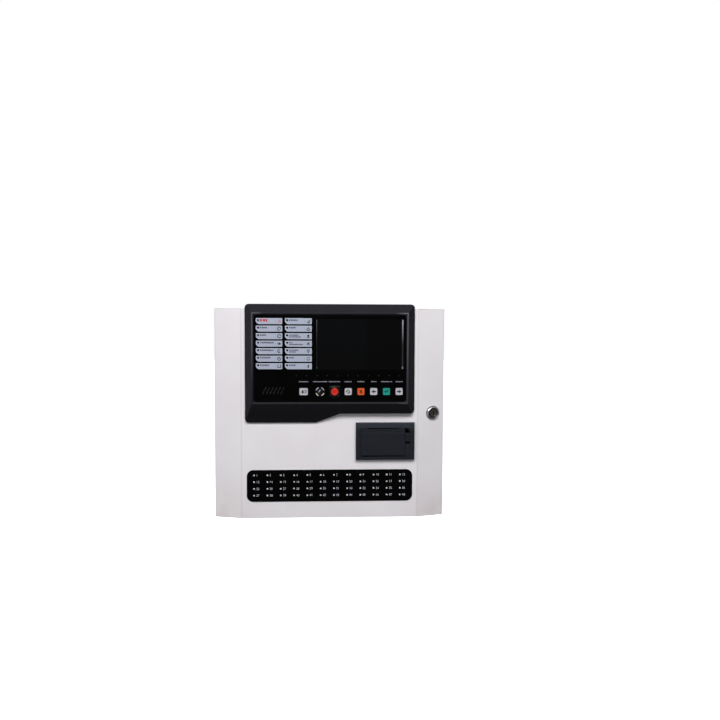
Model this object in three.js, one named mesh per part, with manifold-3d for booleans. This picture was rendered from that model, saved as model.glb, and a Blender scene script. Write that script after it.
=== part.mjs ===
// A wall-hung fire alarm control panel: back box, hinged door with fascia, printer and zone strip.
//
// Frame, millimetres: x to the right for someone facing the panel, z up, the wall face at y = 0 and
// the front towards -y. The origin is the centre of the wall face.

import * as THREE from "three";
import { ConvexGeometry } from "three/addons/geometries/ConvexGeometry.js";
import { mergeVertices } from "three/addons/utils/BufferGeometryUtils.js";
import Module from "manifold-3d";

const wasm = await Module();
wasm.setup();

// ---------------------------------------------------------------- driving dimensions

// Cabinet
const HEIGHT = 392;
const DOOR_DEPTH = 34; // door rim to the flat middle of its face
const DOOR_GAP = 2; // between the lips and the door rim
const SHEET = 1.5;
const LIP = 12; // width of the box's turned-in lips
const FACE_MARGIN = 7; // fascia's sides to the folds where the wings start
const WING_WIDTH = 50.5;
const WING_DROP = 15.3; // how far a wing falls back at the door's edge

// Clearances
const SEAM = 0.2; // between sheets that meet
const FIT = 0.3; // around a piece that seats in another
const RUN = 0.4; // around a piece that moves

// Fascia
const OVERLAY_WIDTH = 281;
const OVERLAY_HEIGHT = 160;
const OVERLAY_THICK = 2.5;
const OVERLAY_RADIUS = 5.5;
const SIDE_RAIL = 17;
const TOP_RAIL = 20.3;
const BOTTOM_RAIL = 39.8;
const FASCIA_OVERHANG = 8.3; // above the door's top edge
const FASCIA_RISE = 18; // door face to the crest of the bezel
const FASCIA_EDGE_RISE = 3.5; // upright outer edge before the slope starts
const FASCIA_CORNER = 7.5;
const FASCIA_WALL = 3;
const CREST_OFFSET = 3; // overlay edge to the crest
const CREST_LAND = 0.4;
const OVERLAY_DROP = 2; // crest to the overlay's face
const LEDGE_WIDTH = 4.5; // the step that the overlay sits on
const LEDGE_THICK = 2.5;
const STEP_HEIGHT = 17.1; // the right part of the bottom rail is this much shorter
const STEP_START = 131.5; // from the left edge to the foot of the slanted step
const STEP_RUN = 44;

// Screen
const SCREEN_WIDTH = 164.4;
const SCREEN_HEIGHT = 93.5;
const SCREEN_RIGHT_MARGIN = 1.5;
const SCREEN_TOP_MARGIN = 7.2;
const DISPLAY_THICK = 5.8;
const BOARD_THICK = 1.6;

// Key row
const KEY = 12.8;
const KEY_RADIUS = 2;
const FUNCTION_KEY_WIDTH = 15;
const KEY_PROUD = 1.2;
const KEY_TRAVEL = 1;
const KEY_FLANGE = 1;
const KEY_SPACING = 10.8; // between neighbours
const KEY_RIGHT_MARGIN = 6.6; // overlay edge to the last key
const KEY_ROW = 19.3; // overlay bottom edge to the middle of the row
const EVAC_SPACING = 8.95;
const SWITCH_SPACING = 8;
const FUNCTION_SPACING = 13.15;

// Key switch
const SWITCH_BARREL_RADIUS = 8;
const SWITCH_FLANGE = 1.35; // beyond the barrel
const SWITCH_PLUG_RADIUS = 4.8;
const SWITCH_DEPTH = 26; // behind the overlay's face
const KEYWAY = { width: 1.8, height: 6.4, depth: 9 };
const KEYWAY_LEAN = 0.7; // radians from upright

// Evacuation button and flip cover
const EVAC_BUTTON_RADIUS = 6.6;
const EVAC_SIDE_MARGIN = 3.05; // button to the sides of its housing
const EVAC_END_MARGIN = 2.95; // half the height that the housing has over the button's
const EVAC_BUTTON_DROP = 1.4; // the button sits below the middle of its housing
const EVAC_BASE_RISE = 1.5;
const EVAC_BUTTON_RISE = 4.5;
const EVAC_TRAVEL = 2.5;
const EVAC_COVER_RISE = 7.8;
const EVAC_COVER_WALL = 1;
const EVAC_TAB = { height: 3.3, top: 5.8, foot: 3.6, radius: 0.4 }; // half widths
const EVAC_PIN_RADIUS = 0.8;
const EVAC_PIN_BELOW_TOP = 2.2;
const EVAC_PIN_RISE = 4.6;
const EVAC_EAR = { width: 2, front: 1.7, below: 1.8, above: 1 }; // around the pin's middle
const EVAC_DISH = 0.5;
const EVAC_RIM = { inner: 1.8, outer: 0.6 }; // of the button, in from its edge
const STEM_RADIUS = 2.5;

// Loudspeaker
const SPEAKER_RADIUS = 14;
const SPEAKER_DEPTH = 12;
const SPEAKER_RIM = 2;
const MAGNET = 0.6; // share of the radius, and of the depth where it starts
const CONE = 0.3; // share of the depth
const SPEAKER_LEFT_MARGIN = 35.75;
const SPEAKER_ROW = 21.5;
const GRILLE_SLOTS = 6;
const GRILLE_PITCH = 6.6;
const GRILLE_LENGTH = 15;
const GRILLE_WIDTH = 1.5;
const GRILLE_LEAN = 0.45; // radians from upright

// Zone strip
const ZONE_WIDTH = 310;
const ZONE_HEIGHT = 60;
const ZONE_THICK = 0.8;
const ZONE_RADIUS = 12;
const ZONE_BOTTOM_MARGIN = 31; // door's bottom edge to the strip
const ZONE_ROWS = 4;
const ZONE_ROW_PITCH = 12.72;
const ZONE_SLOT_WIDTH = 292;
const ZONE_SLOT_HEIGHT = 6;
const ZONE_BOARD_GAP = 1.5;

// Printer
const PRINTER_RISE = 8;
const PRINTER_BEVEL = 1.5;
const PRINTER_RAISE = 0.75; // above the middle of the space between the fascia and the zone strip
const PRINTER_OUTSET = 0.6; // past the fascia's right edge
const COVER_WIDTH = 82.6;
const COVER_HEIGHT = 52.7;
const COVER_LEFT_MARGIN = 9.6;
const COVER_TOP_MARGIN = 10.4;
const COVER_BOTTOM_MARGIN = 6.9;
const COVER_THICK = 2.5;
const COVER_BACK_RISE = 6;
const COVER_AXIS_RISE = 6.5;
const COVER_AXIS_ABOVE_BOTTOM = 2.2;
const COVER_FOOT_GAP = 0.8; // room for the cover's foot as it swings
const PAPER_WIDTH = 58;
const PAPER_SLOT = 1.4;
const LEVER_WIDTH = 8.6;
const LEVER_HEIGHT = 17;
const LEVER_TOP_MARGIN = 19.3;
const LEVER_RIGHT_MARGIN = 8.5;
const LEVER_GAP = 0.7; // between the cover and the lever
const LEVER_FINGER_GAP = 3.4;
const LEVER_THICK = 3;
const LEVER_RISE = 0.5; // in front of the faceplate
const LEVER_ARM = { width: 3, length: 7, height: 4 };
const RECESS_GAP = { above: 0.5, below: 1.4, depth: 3 }; // the dark square above the lever
const FEED_RADIUS = 2.2;
const FEED_BOTTOM_MARGIN = 8.2;
const FEED_RISE = 0.3;
const FEED_LENGTH = 6;
const BUCKET_DEPTH = 44;
const BUCKET_WALL = 2.5;
const BUCKET_FRONT_RISE = 3.5;
const PLATEN_RADIUS = 4;
const PLATEN_SHAFT_RADIUS = 1.5;
const PLATEN_RISE = 1.5;
const PLATEN_BELOW_COVER_TOP = 6.5;
const CHEEK = 2;
const CHEEK_BELOW = 4; // the platen's axis, to the cheek's edges
const CHEEK_ABOVE = 3.5;
const CHEEK_BEHIND = 3;
const HEAD_THICK = 3;
const HEAD_BELOW = 7; // the platen's axis
const ROLL_RADIUS = 18;
const ROLL_BORE = 6;
const ROLL_DEPTH = 22; // door face to the roll's axis
const ROLL_ABOVE_FLOOR = 2;
const COVER_BEVEL = 0.8;

// Cam lock, measured in the plane of the wing
const LOCK_FROM_EDGE = 21; // door's side edge to the lock's middle
const LOCK_FLANGE = 3; // beyond the barrel
const LOCK_FLANGE_RISE = 3.5;
const LOCK_FLANGE_BEVEL = 1.5;
const LOCK_BARREL_RADIUS = 9.5;
const LOCK_BARREL_DEPTH = 24;
const LOCK_PLUG_RADIUS = 6.5;
const LOCK_NUT_CORNER = 5; // beyond the barrel
const LOCK_NUT_THICK = 4;
const LOCK_KEYWAY = { width: 2, height: 8.4, depth: 11 };
const CAM_REACH = 23;
const CAM_WIDTH = 14;
const CAM_THICK = 2;
const CAM_RADIUS = 3;
const CAM_SCREW = 2; // how far its screw stands behind it
const CAM_DEPTH = 26.2; // wing face to the front of the cam

// Hinges
const HINGE_FROM_TOP = 46; // cabinet's top and bottom edges to the hinges
const HINGE_BEHIND_RIM = -10; // the axis lies this far in front of the door rim
const LEAF_THICK = 2;
const LEAF_HALF_WIDTH = 3;
const LEAF_GAP = 0.5;
const PIN_RADIUS = 2;
const PIN_LENGTH = 9;
const DOOR_LEAF_LENGTH = 13;

// Inside the box
const PLATE_STANDOFF = 19; // back sheet to the chassis plate's face
const PLATE_SIDE_MARGIN = 14;
const PLATE_TOP_MARGIN = 8;
const PLATE_ABOVE_BATTERY = 5;
const PLATE_FOOT = 10;
const BOARD_WIDTH = 250;
const BOARD_HEIGHT = 240;
const BOARD_STANDOFF = 8;
const BOARD_MARGIN = 8; // from the chassis plate's left and top edges
const TERMINAL_HEIGHT = 14;
const TERMINAL_DEPTH = 17;
const TERMINAL_MARGIN = 4;
const TERMINAL_STEP = 0.6; // share of its depth where a terminal row's step starts
const LOOP_TERMINAL_WIDTH = 130;
const OUTPUT_TERMINAL_WIDTH = 96;
const RELAY_TERMINAL_WIDTH = 150;
const SUPPLY_WIDTH = 110;
const SUPPLY_HEIGHT = 150;
const SUPPLY_DEPTH = 36;
const MAINS_WIDTH = 48;
const MAINS_HEIGHT = 22;
const MAINS_DEPTH = 20;
const FUSE_RADIUS = 6;
const FUSE_LENGTH = 40;
const BATTERY_WIDTH = 151;
const BATTERY_DEPTH = 65;
const BATTERY_HEIGHT = 94;
const BATTERY_SPACING = 8;
const BATTERY_BACK_GAP = 1;
const BATTERY_FRONT_ROOM = 6.5; // for the strap, up to the front of the lips
const STRAP_HEIGHT = 20;
const STRAP_ABOVE_FLOOR = 45;
const STRAP_FOOT = 16;
const GROMMET_RADIUS = 10; // hole in the sheet
const GROMMET_BORE = 7.5;
const GROMMET_RIM = 3;
const GROMMET_LIP = 1.5;
const GROMMET_PITCH = 120;
const SEAL_THICK = 0.9;
const SEAL_WIDTH = 8;
const KEYHOLE_HEAD = 5.5;
const KEYHOLE_SHANK = 2.75;
const KEYHOLE_RISE = 11;
const KEYHOLE_SIDE_MARGIN = 45;
const KEYHOLE_TOP_MARGIN = 36;
const EARTH_STUD_RADIUS = 3;
const EARTH_STUD_LENGTH = 18;
const EARTH_STUD_SIDE_MARGIN = 20;
const EARTH_STUD_BELOW_PLATE = 12;
const EARTH_NUT_RADIUS = 5.5;
const EARTH_NUT_THICK = 5;

const ROUND = 24; // sides of a round piece
const SMALL_ROUND = 16;
const CORNER = 3; // steps in a rounded corner
const PAST = 1; // how far a cutting tool runs past what it cuts

// ---------------------------------------------------------------- places that follow from them

const OVERLAY_RIGHT = OVERLAY_WIDTH / 2;
const FASCIA_RIGHT = OVERLAY_RIGHT + SIDE_RAIL;
const FOLD = FASCIA_RIGHT + FACE_MARGIN;
const RIGHT = FOLD + WING_WIDTH;
const TOP = HEIGHT / 2;
const LIP_FRONT = -SHEET - BATTERY_BACK_GAP - BATTERY_DEPTH - BATTERY_FRONT_ROOM;
const RIM = LIP_FRONT - DOOR_GAP;
const FACE = RIM - DOOR_DEPTH;
const FACE_BACK = FACE + SHEET;
const WING_ANGLE = Math.atan2(WING_DROP, WING_WIDTH);

const FASCIA_TOP = TOP + FASCIA_OVERHANG;
const OVERLAY_TOP = FASCIA_TOP - TOP_RAIL;
const OVERLAY_BOTTOM = OVERLAY_TOP - OVERLAY_HEIGHT;
const FASCIA_BOTTOM = OVERLAY_BOTTOM - BOTTOM_RAIL;
const FASCIA_STEP = FASCIA_BOTTOM + STEP_HEIGHT;
const OVERLAY_RISE = FASCIA_RISE - OVERLAY_DROP;
const OVERLAY_BACK_RISE = OVERLAY_RISE - OVERLAY_THICK;
const LEDGE_BACK_RISE = OVERLAY_BACK_RISE - LEDGE_THICK;
const DISPLAY_BACK_RISE = OVERLAY_BACK_RISE - FIT - DISPLAY_THICK;
const FASCIA_BOARD_RISE = DISPLAY_BACK_RISE - FIT;

const KEY_Z = OVERLAY_BOTTOM + KEY_ROW;
const KEY_NAMES = ["key_right", "key_confirm", "key_left", "key_mute", "key_reset"];
const keyX = (index) => OVERLAY_RIGHT - KEY_RIGHT_MARGIN - KEY / 2 - index * (KEY + KEY_SPACING);
const EVAC_RIGHT = keyX(KEY_NAMES.length - 1) - KEY / 2 - EVAC_SPACING;
const EVAC_X = EVAC_RIGHT - EVAC_SIDE_MARGIN - EVAC_BUTTON_RADIUS;
const EVAC_LEFT = EVAC_X - EVAC_BUTTON_RADIUS - EVAC_SIDE_MARGIN;
const EVAC_Z = KEY_Z + EVAC_BUTTON_DROP;
const SWITCH_FLANGE_RADIUS = SWITCH_BARREL_RADIUS + SWITCH_FLANGE;
const SWITCH_X = EVAC_LEFT - SWITCH_SPACING - SWITCH_FLANGE_RADIUS;
const FUNCTION_X = SWITCH_X - SWITCH_FLANGE_RADIUS - FUNCTION_SPACING - FUNCTION_KEY_WIDTH / 2;
const SPEAKER_X = -OVERLAY_RIGHT + SPEAKER_LEFT_MARGIN;
const SPEAKER_Z = OVERLAY_BOTTOM + SPEAKER_ROW;

const ZONE_Z = -TOP + ZONE_BOTTOM_MARGIN + ZONE_HEIGHT / 2;

const PRINTER_RIGHT = FASCIA_RIGHT + PRINTER_OUTSET;
const LEVER_RIGHT = PRINTER_RIGHT - LEVER_RIGHT_MARGIN;
const LEVER_LEFT = LEVER_RIGHT - LEVER_WIDTH;
const COVER_RIGHT = LEVER_LEFT - LEVER_GAP;
const COVER_LEFT = COVER_RIGHT - COVER_WIDTH;
const COVER_X = (COVER_LEFT + COVER_RIGHT) / 2;
const PRINTER_LEFT = COVER_LEFT - COVER_LEFT_MARGIN;
const PRINTER_HEIGHT = COVER_TOP_MARGIN + COVER_HEIGHT + COVER_BOTTOM_MARGIN;
const PRINTER_Z = (FASCIA_STEP + ZONE_Z + ZONE_HEIGHT / 2) / 2 + PRINTER_RAISE;
const PRINTER_TOP = PRINTER_Z + PRINTER_HEIGHT / 2;
const PRINTER_BOTTOM = PRINTER_Z - PRINTER_HEIGHT / 2;
const COVER_TOP = PRINTER_TOP - COVER_TOP_MARGIN;
const COVER_BOTTOM = COVER_TOP - COVER_HEIGHT;
const COVER_AXIS_Z = COVER_BOTTOM + COVER_AXIS_ABOVE_BOTTOM;
const LEVER_TOP = PRINTER_TOP - LEVER_TOP_MARGIN;
const LEVER_BOTTOM = LEVER_TOP - LEVER_HEIGHT;
const LEVER_X = (LEVER_LEFT + LEVER_RIGHT) / 2;
const PLATEN_Z = COVER_TOP - PLATEN_BELOW_COVER_TOP;
const BUCKET_TOP = COVER_TOP;
const BUCKET_BOTTOM = COVER_BOTTOM - COVER_FOOT_GAP + RUN;

const HINGE_X = -RIGHT + SHEET + LEAF_HALF_WIDTH;
const HINGE_Y = RIM + HINGE_BEHIND_RIM;
const HINGE_LEVELS = { upper: TOP - HINGE_FROM_TOP, lower: -TOP + HINGE_FROM_TOP };

const PLATE_RIGHT = RIGHT - SHEET - PLATE_SIDE_MARGIN;
const PLATE_TOP = TOP - SHEET - PLATE_TOP_MARGIN;
const BATTERY_FLOOR = -TOP + SHEET;
const PLATE_BOTTOM = BATTERY_FLOOR + BATTERY_HEIGHT + PLATE_ABOVE_BATTERY + PLATE_FOOT;
const PLATE_FACE = -SHEET - PLATE_STANDOFF;
const EARTH_STUD_X = RIGHT - SHEET - EARTH_STUD_SIDE_MARGIN;
const EARTH_STUD_Z = PLATE_BOTTOM - PLATE_FOOT - EARTH_STUD_BELOW_PLATE;
const BOARD_LEFT = -PLATE_RIGHT + BOARD_MARGIN;
const BOARD_TOP = PLATE_TOP - BOARD_MARGIN;
const BOARD_BOTTOM = BOARD_TOP - BOARD_HEIGHT;
const BOARD_BACK = PLATE_FACE - BOARD_STANDOFF;
const BOARD_FACE = BOARD_BACK - BOARD_THICK;

// ---------------------------------------------------------------- materials

const material = (color, roughness, metalness, extra = {}) =>
  new THREE.MeshStandardMaterial({ color, roughness, metalness, ...extra });

const cabinetPaint = material(0xdcd9dd, 0.55, 0.0);
const zincSteel = material(0xa8abb0, 0.4, 0.9);
const chromeSteel = material(0xc9c9c9, 0.2, 1.0);
const brass = material(0xb99a52, 0.35, 0.9);
const fasciaPlastic = material(0x2f3136, 0.5, 0.0);
const glossBlack = material(0x08090a, 0.12, 0.0);
const clearPlastic = material(0xe6f0f4, 0.05, 0.0, { transparent: true, opacity: 0.3 });
const boardGreen = material(0x1f5a3a, 0.5, 0.0);
const keyGrey = material(0xcfcfd7, 0.45, 0.0);
const keyOrange = material(0xe1601c, 0.45, 0.0);
const keyTeal = material(0x149687, 0.45, 0.0);
const evacRed = material(0xd8402c, 0.35, 0.0);
const blackRubber = material(0x16171a, 0.85, 0.0);
const terminalGreen = material(0x2f8a4a, 0.5, 0.0);
const batteryGrey = material(0x45484e, 0.6, 0.0);
const fuseBlack = material(0x1a1a1c, 0.4, 0.0);
const paper = material(0xf3f1ea, 0.9, 0.0);
const displayGrey = material(0x8f9396, 0.4, 0.7);

// ---------------------------------------------------------------- geometry helpers

// y of a surface that stands a given height in front of the door's flat face.
const out = (rise) => FACE - rise;

function solidFrom(geometry) {
  const bare = geometry.clone();
  bare.deleteAttribute("normal");
  bare.deleteAttribute("uv");
  const merged = mergeVertices(bare, 1e-4);
  return new wasm.Manifold(
    new wasm.Mesh({
      numProp: 3,
      vertProperties: new Float32Array(merged.attributes.position.array),
      triVerts: new Uint32Array(merged.index.array),
    }),
  );
}

function geometryFrom(solid) {
  const mesh = solid.getMesh();
  const geometry = new THREE.BufferGeometry();
  geometry.setAttribute("position", new THREE.BufferAttribute(mesh.vertProperties, 3));
  geometry.setIndex(new THREE.BufferAttribute(mesh.triVerts, 1));
  return geometry;
}

function combine(operation, first, others) {
  let solid = solidFrom(first);
  for (const other of others) solid = solid[operation](solidFrom(other));
  return geometryFrom(solid);
}

const cut = (body, ...tools) => combine("subtract", body, tools);
const join = (body, ...pieces) => combine("add", body, pieces);
const common = (body, ...pieces) => combine("intersect", body, pieces);

// A block between two corners.
function block(x0, x1, y0, y1, z0, z1) {
  const geometry = new THREE.BoxGeometry(x1 - x0, y1 - y0, z1 - z0);
  return geometry.translate((x0 + x1) / 2, (y0 + y1) / 2, (z0 + z1) / 2);
}

const extruded = (shape, depth) =>
  new THREE.ExtrudeGeometry(shape, { depth, bevelEnabled: false, curveSegments: CORNER });

// A shape drawn in x and z, between two depths.
const faceOn = (shape, front, back) =>
  extruded(shape, back - front)
    .rotateX(Math.PI / 2)
    .translate(0, back, 0);

// A shape drawn in x and y, between two heights.
const fromAbove = (shape, bottom, top) => extruded(shape, top - bottom).translate(0, 0, bottom);

// A shape drawn in y and z, between two sides.
const AXES_YZX = new THREE.Matrix4().makeBasis(
  new THREE.Vector3(0, 1, 0),
  new THREE.Vector3(0, 0, 1),
  new THREE.Vector3(1, 0, 0),
);
const fromSide = (shape, left, right) =>
  extruded(shape, right - left).applyMatrix4(AXES_YZX).translate(left, 0, 0);

const polygon = (points) => new THREE.Shape(points.map(([a, b]) => new THREE.Vector2(a, b)));

const rectangle = (left, right, bottom, top) => [
  [left, bottom],
  [right, bottom],
  [right, top],
  [left, top],
];

// A closed outline whose corners, convex or concave, are rounded with one radius.
function rounded(points, radius, Outline = THREE.Shape) {
  const outline = new Outline();
  const at = (i) => new THREE.Vector2(...points[(i + points.length) % points.length]);
  points.forEach((_, i) => {
    const corner = at(i);
    const before = at(i - 1).sub(corner).normalize();
    const after = at(i + 1).sub(corner).normalize();
    const half = Math.acos(before.dot(after)) / 2;
    const start = before.clone().multiplyScalar(radius / Math.tan(half)).add(corner);
    const centre = before.clone().add(after).normalize().multiplyScalar(radius / Math.sin(half));
    centre.add(corner);
    const end = after.clone().multiplyScalar(radius / Math.tan(half)).add(corner);
    const clockwise = before.cross(after) > 0;
    const angle = (p) => Math.atan2(p.y - centre.y, p.x - centre.x);
    if (i === 0) outline.moveTo(start.x, start.y);
    else outline.lineTo(start.x, start.y);
    outline.absarc(centre.x, centre.y, radius, angle(start), angle(end), clockwise);
  });
  outline.closePath();
  return outline;
}

// An outline moved inwards by a distance; its points run anticlockwise.
function inset(points, distance) {
  return points.map((point, i) => {
    const p = new THREE.Vector2(...point);
    const previous = new THREE.Vector2(...points[(i + points.length - 1) % points.length]);
    const next = new THREE.Vector2(...points[(i + 1) % points.length]);
    const inward = (a, b) => new THREE.Vector2(a.y - b.y, b.x - a.x).normalize();
    const n1 = inward(previous, p);
    const n2 = inward(p, next);
    const shift = n1.clone().add(n2).multiplyScalar(distance / (1 + n1.dot(n2)));
    return [p.x + shift.x, p.y + shift.y];
  });
}

// A round hole: its flats, not its corners, lie at the radius.
function roundHole(x, y, radius) {
  const corner = new THREE.Vector2(radius / Math.cos(Math.PI / ROUND), 0);
  const turn = (i) => corner.clone().rotateAround(new THREE.Vector2(), (2 * Math.PI * i) / ROUND);
  return new THREE.Path(Array.from({ length: ROUND }, (_, i) => turn(i).add(new THREE.Vector2(x, y))));
}

// The convex body around rectangles, each at its own rise over the door's face.
function hullOf(rings) {
  const points = rings.flatMap(({ rise, corners }) =>
    corners.map(([x, z]) => new THREE.Vector3(x, out(rise), z)),
  );
  return new ConvexGeometry(points);
}

// A turned piece along y: its profile is [radius, y] from the front, at the lowest y, to the back.
const turned = (profile, sides = ROUND) =>
  new THREE.LatheGeometry(
    profile.map(([radius, y]) => new THREE.Vector2(radius, y)),
    sides,
  );

const rod = (radius, front, back, sides = ROUND) =>
  turned([[0, front], [radius, front], [radius, back], [0, back]], sides);

const tube = (outer, inner, front, back, sides = ROUND) =>
  turned([[inner, front], [outer, front], [outer, back], [inner, back], [inner, front]], sides);

// The same two pieces along z and along x.
const alongZ = (geometry) => geometry.rotateX(Math.PI / 2);
const alongX = (geometry) => geometry.rotateZ(-Math.PI / 2);

const panel = new THREE.Group();

function add(name, geometry, finish, parent = panel) {
  const mesh = new THREE.Mesh(geometry, finish);
  mesh.name = name;
  parent.add(mesh);
  return mesh;
}

// ---------------------------------------------------------------- back box

function keyhole(x, z) {
  const path = new THREE.Path();
  const meet = Math.asin(KEYHOLE_SHANK / KEYHOLE_HEAD);
  path.absarc(x, z + KEYHOLE_RISE, KEYHOLE_SHANK, 0, Math.PI, false);
  path.absarc(x, z, KEYHOLE_HEAD, Math.PI / 2 + meet, Math.PI / 2 - meet + 2 * Math.PI, false);
  path.closePath();
  return path;
}

function backSheet() {
  const shape = polygon(rectangle(-RIGHT, RIGHT, -TOP, TOP));
  const x = RIGHT - KEYHOLE_SIDE_MARGIN;
  const z = TOP - KEYHOLE_TOP_MARGIN;
  for (const [side, level] of [[-x, z], [x, z], [-x, -z], [x, -z]])
    shape.holes.push(keyhole(side, level));
  return faceOn(shape, -SHEET, 0);
}

// A side wall with its lip, as one folded strip seen from above.
function sideWall(side) {
  const wall = [
    [RIGHT - SHEET, -SHEET - SEAM],
    [RIGHT - SHEET, LIP_FRONT + SHEET],
    [RIGHT - LIP, LIP_FRONT + SHEET],
    [RIGHT - LIP, LIP_FRONT],
    [RIGHT, LIP_FRONT],
    [RIGHT, -SHEET - SEAM],
  ];
  return fromAbove(polygon(wall.map(([x, y]) => [side * x, y])), -TOP, TOP);
}

// A top or bottom wall with its lip, as one folded strip seen from the side.
function endWall(side) {
  const wall = [
    [-SHEET - SEAM, TOP],
    [LIP_FRONT, TOP],
    [LIP_FRONT, TOP - LIP],
    [LIP_FRONT + SHEET, TOP - LIP],
    [LIP_FRONT + SHEET, TOP - SHEET],
    [-SHEET - SEAM, TOP - SHEET],
  ];
  const inner = RIGHT - SHEET - SEAM;
  const strip = fromSide(polygon(wall.map(([y, z]) => [y, side * z])), -inner, inner);
  const levels = side > 0 ? [0, TOP + PAST] : [-TOP - PAST, 0];
  const lipEnd = (x) => block(x, x + LIP, LIP_FRONT - PAST, LIP_FRONT + SHEET + SEAM, ...levels);
  return cut(strip, lipEnd(-RIGHT + SEAM), lipEnd(RIGHT - SEAM - LIP));
}

const grommetPlaces = { left: -GROMMET_PITCH, centre: 0, right: GROMMET_PITCH };
const GROMMET_Y = (-SHEET + LIP_FRONT) / 2;

function grommet(x) {
  const outer = GROMMET_RADIUS + GROMMET_RIM;
  const neck = GROMMET_RADIUS - FIT;
  const top = SHEET + FIT + GROMMET_LIP;
  const profile = [
    [GROMMET_BORE, -FIT - GROMMET_LIP],
    [outer, -FIT - GROMMET_LIP],
    [outer, -FIT],
    [neck, -FIT],
    [neck, SHEET + FIT],
    [outer, SHEET + FIT],
    [outer, top],
    [GROMMET_BORE, top],
    [GROMMET_BORE, -FIT - GROMMET_LIP],
  ];
  return alongZ(turned(profile, SMALL_ROUND)).translate(x, GROMMET_Y, TOP - SHEET);
}

function doorSeal() {
  const edge = RIGHT - FIT;
  const top = TOP - FIT;
  const outline = polygon(rectangle(-edge, edge, -top, top));
  const [innerEdge, innerTop] = [edge - SEAL_WIDTH, top - SEAL_WIDTH];
  outline.holes.push(polygon(rectangle(-innerEdge, innerEdge, -innerTop, innerTop)));
  const notches = Object.values(HINGE_LEVELS).map((z) =>
    block(
      HINGE_X - LEAF_HALF_WIDTH,
      HINGE_X + LEAF_HALF_WIDTH + FIT,
      LIP_FRONT - SEAL_THICK - PAST,
      LIP_FRONT + PAST,
      z - FIT,
      z + LEAF_THICK + FIT,
    ),
  );
  return cut(faceOn(outline, LIP_FRONT - SEAL_THICK, LIP_FRONT), ...notches);
}

function earthStud() {
  const profile = [
    [0, -SHEET - EARTH_STUD_LENGTH],
    [EARTH_STUD_RADIUS, -SHEET - EARTH_STUD_LENGTH],
    [EARTH_STUD_RADIUS, -SHEET - EARTH_NUT_THICK],
    [EARTH_NUT_RADIUS, -SHEET - EARTH_NUT_THICK],
    [EARTH_NUT_RADIUS, -SHEET],
    [0, -SHEET],
  ];
  return turned(profile, SMALL_ROUND).translate(EARTH_STUD_X, 0, EARTH_STUD_Z);
}

function makeBox() {
  add("back_sheet", backSheet(), cabinetPaint);
  add("box_wall_left", sideWall(-1), cabinetPaint);
  add("box_wall_right", sideWall(1), cabinetPaint);
  const holes = Object.values(grommetPlaces).map((x) =>
    alongZ(rod(GROMMET_RADIUS, -PAST, SHEET + PAST)).translate(x, GROMMET_Y, TOP - SHEET),
  );
  add("box_wall_top", cut(endWall(1), ...holes), cabinetPaint);
  add("box_wall_bottom", endWall(-1), cabinetPaint);
  for (const [place, x] of Object.entries(grommetPlaces))
    add(`cable_grommet_${place}`, grommet(x), blackRubber);
  add("door_seal", doorSeal(), blackRubber);
  add("earth_stud", earthStud(), brass);
}

// ---------------------------------------------------------------- inside the box

// A plate with a bent foot along its top and bottom edges.
function chassisPlate() {
  const back = -SHEET - SEAM;
  const hat = [
    [back, PLATE_BOTTOM - PLATE_FOOT],
    [back, PLATE_BOTTOM + SHEET],
    [PLATE_FACE + SHEET, PLATE_BOTTOM + SHEET],
    [PLATE_FACE + SHEET, PLATE_TOP - SHEET],
    [back, PLATE_TOP - SHEET],
    [back, PLATE_TOP],
    [PLATE_FACE, PLATE_TOP],
    [PLATE_FACE, PLATE_BOTTOM],
    [back - SHEET, PLATE_BOTTOM],
    [back - SHEET, PLATE_BOTTOM - PLATE_FOOT],
  ];
  return fromSide(polygon(hat), -PLATE_RIGHT, PLATE_RIGHT);
}

// A row of screw terminals: a block with a stepped front, standing on the board's face.
function terminalRow(left, width, bottom, opensUp) {
  const front = BOARD_FACE - TERMINAL_DEPTH;
  const step = BOARD_FACE - TERMINAL_DEPTH * TERMINAL_STEP;
  const top = bottom + TERMINAL_HEIGHT;
  const middle = (bottom + top) / 2;
  const up = [
    [BOARD_FACE, bottom],
    [BOARD_FACE, top],
    [step, top],
    [front, middle],
    [front, bottom],
  ];
  const down = up.map(([y, z]) => [y, bottom + top - z]);
  return fromSide(polygon(opensUp ? up : down), left, left + width);
}

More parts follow.
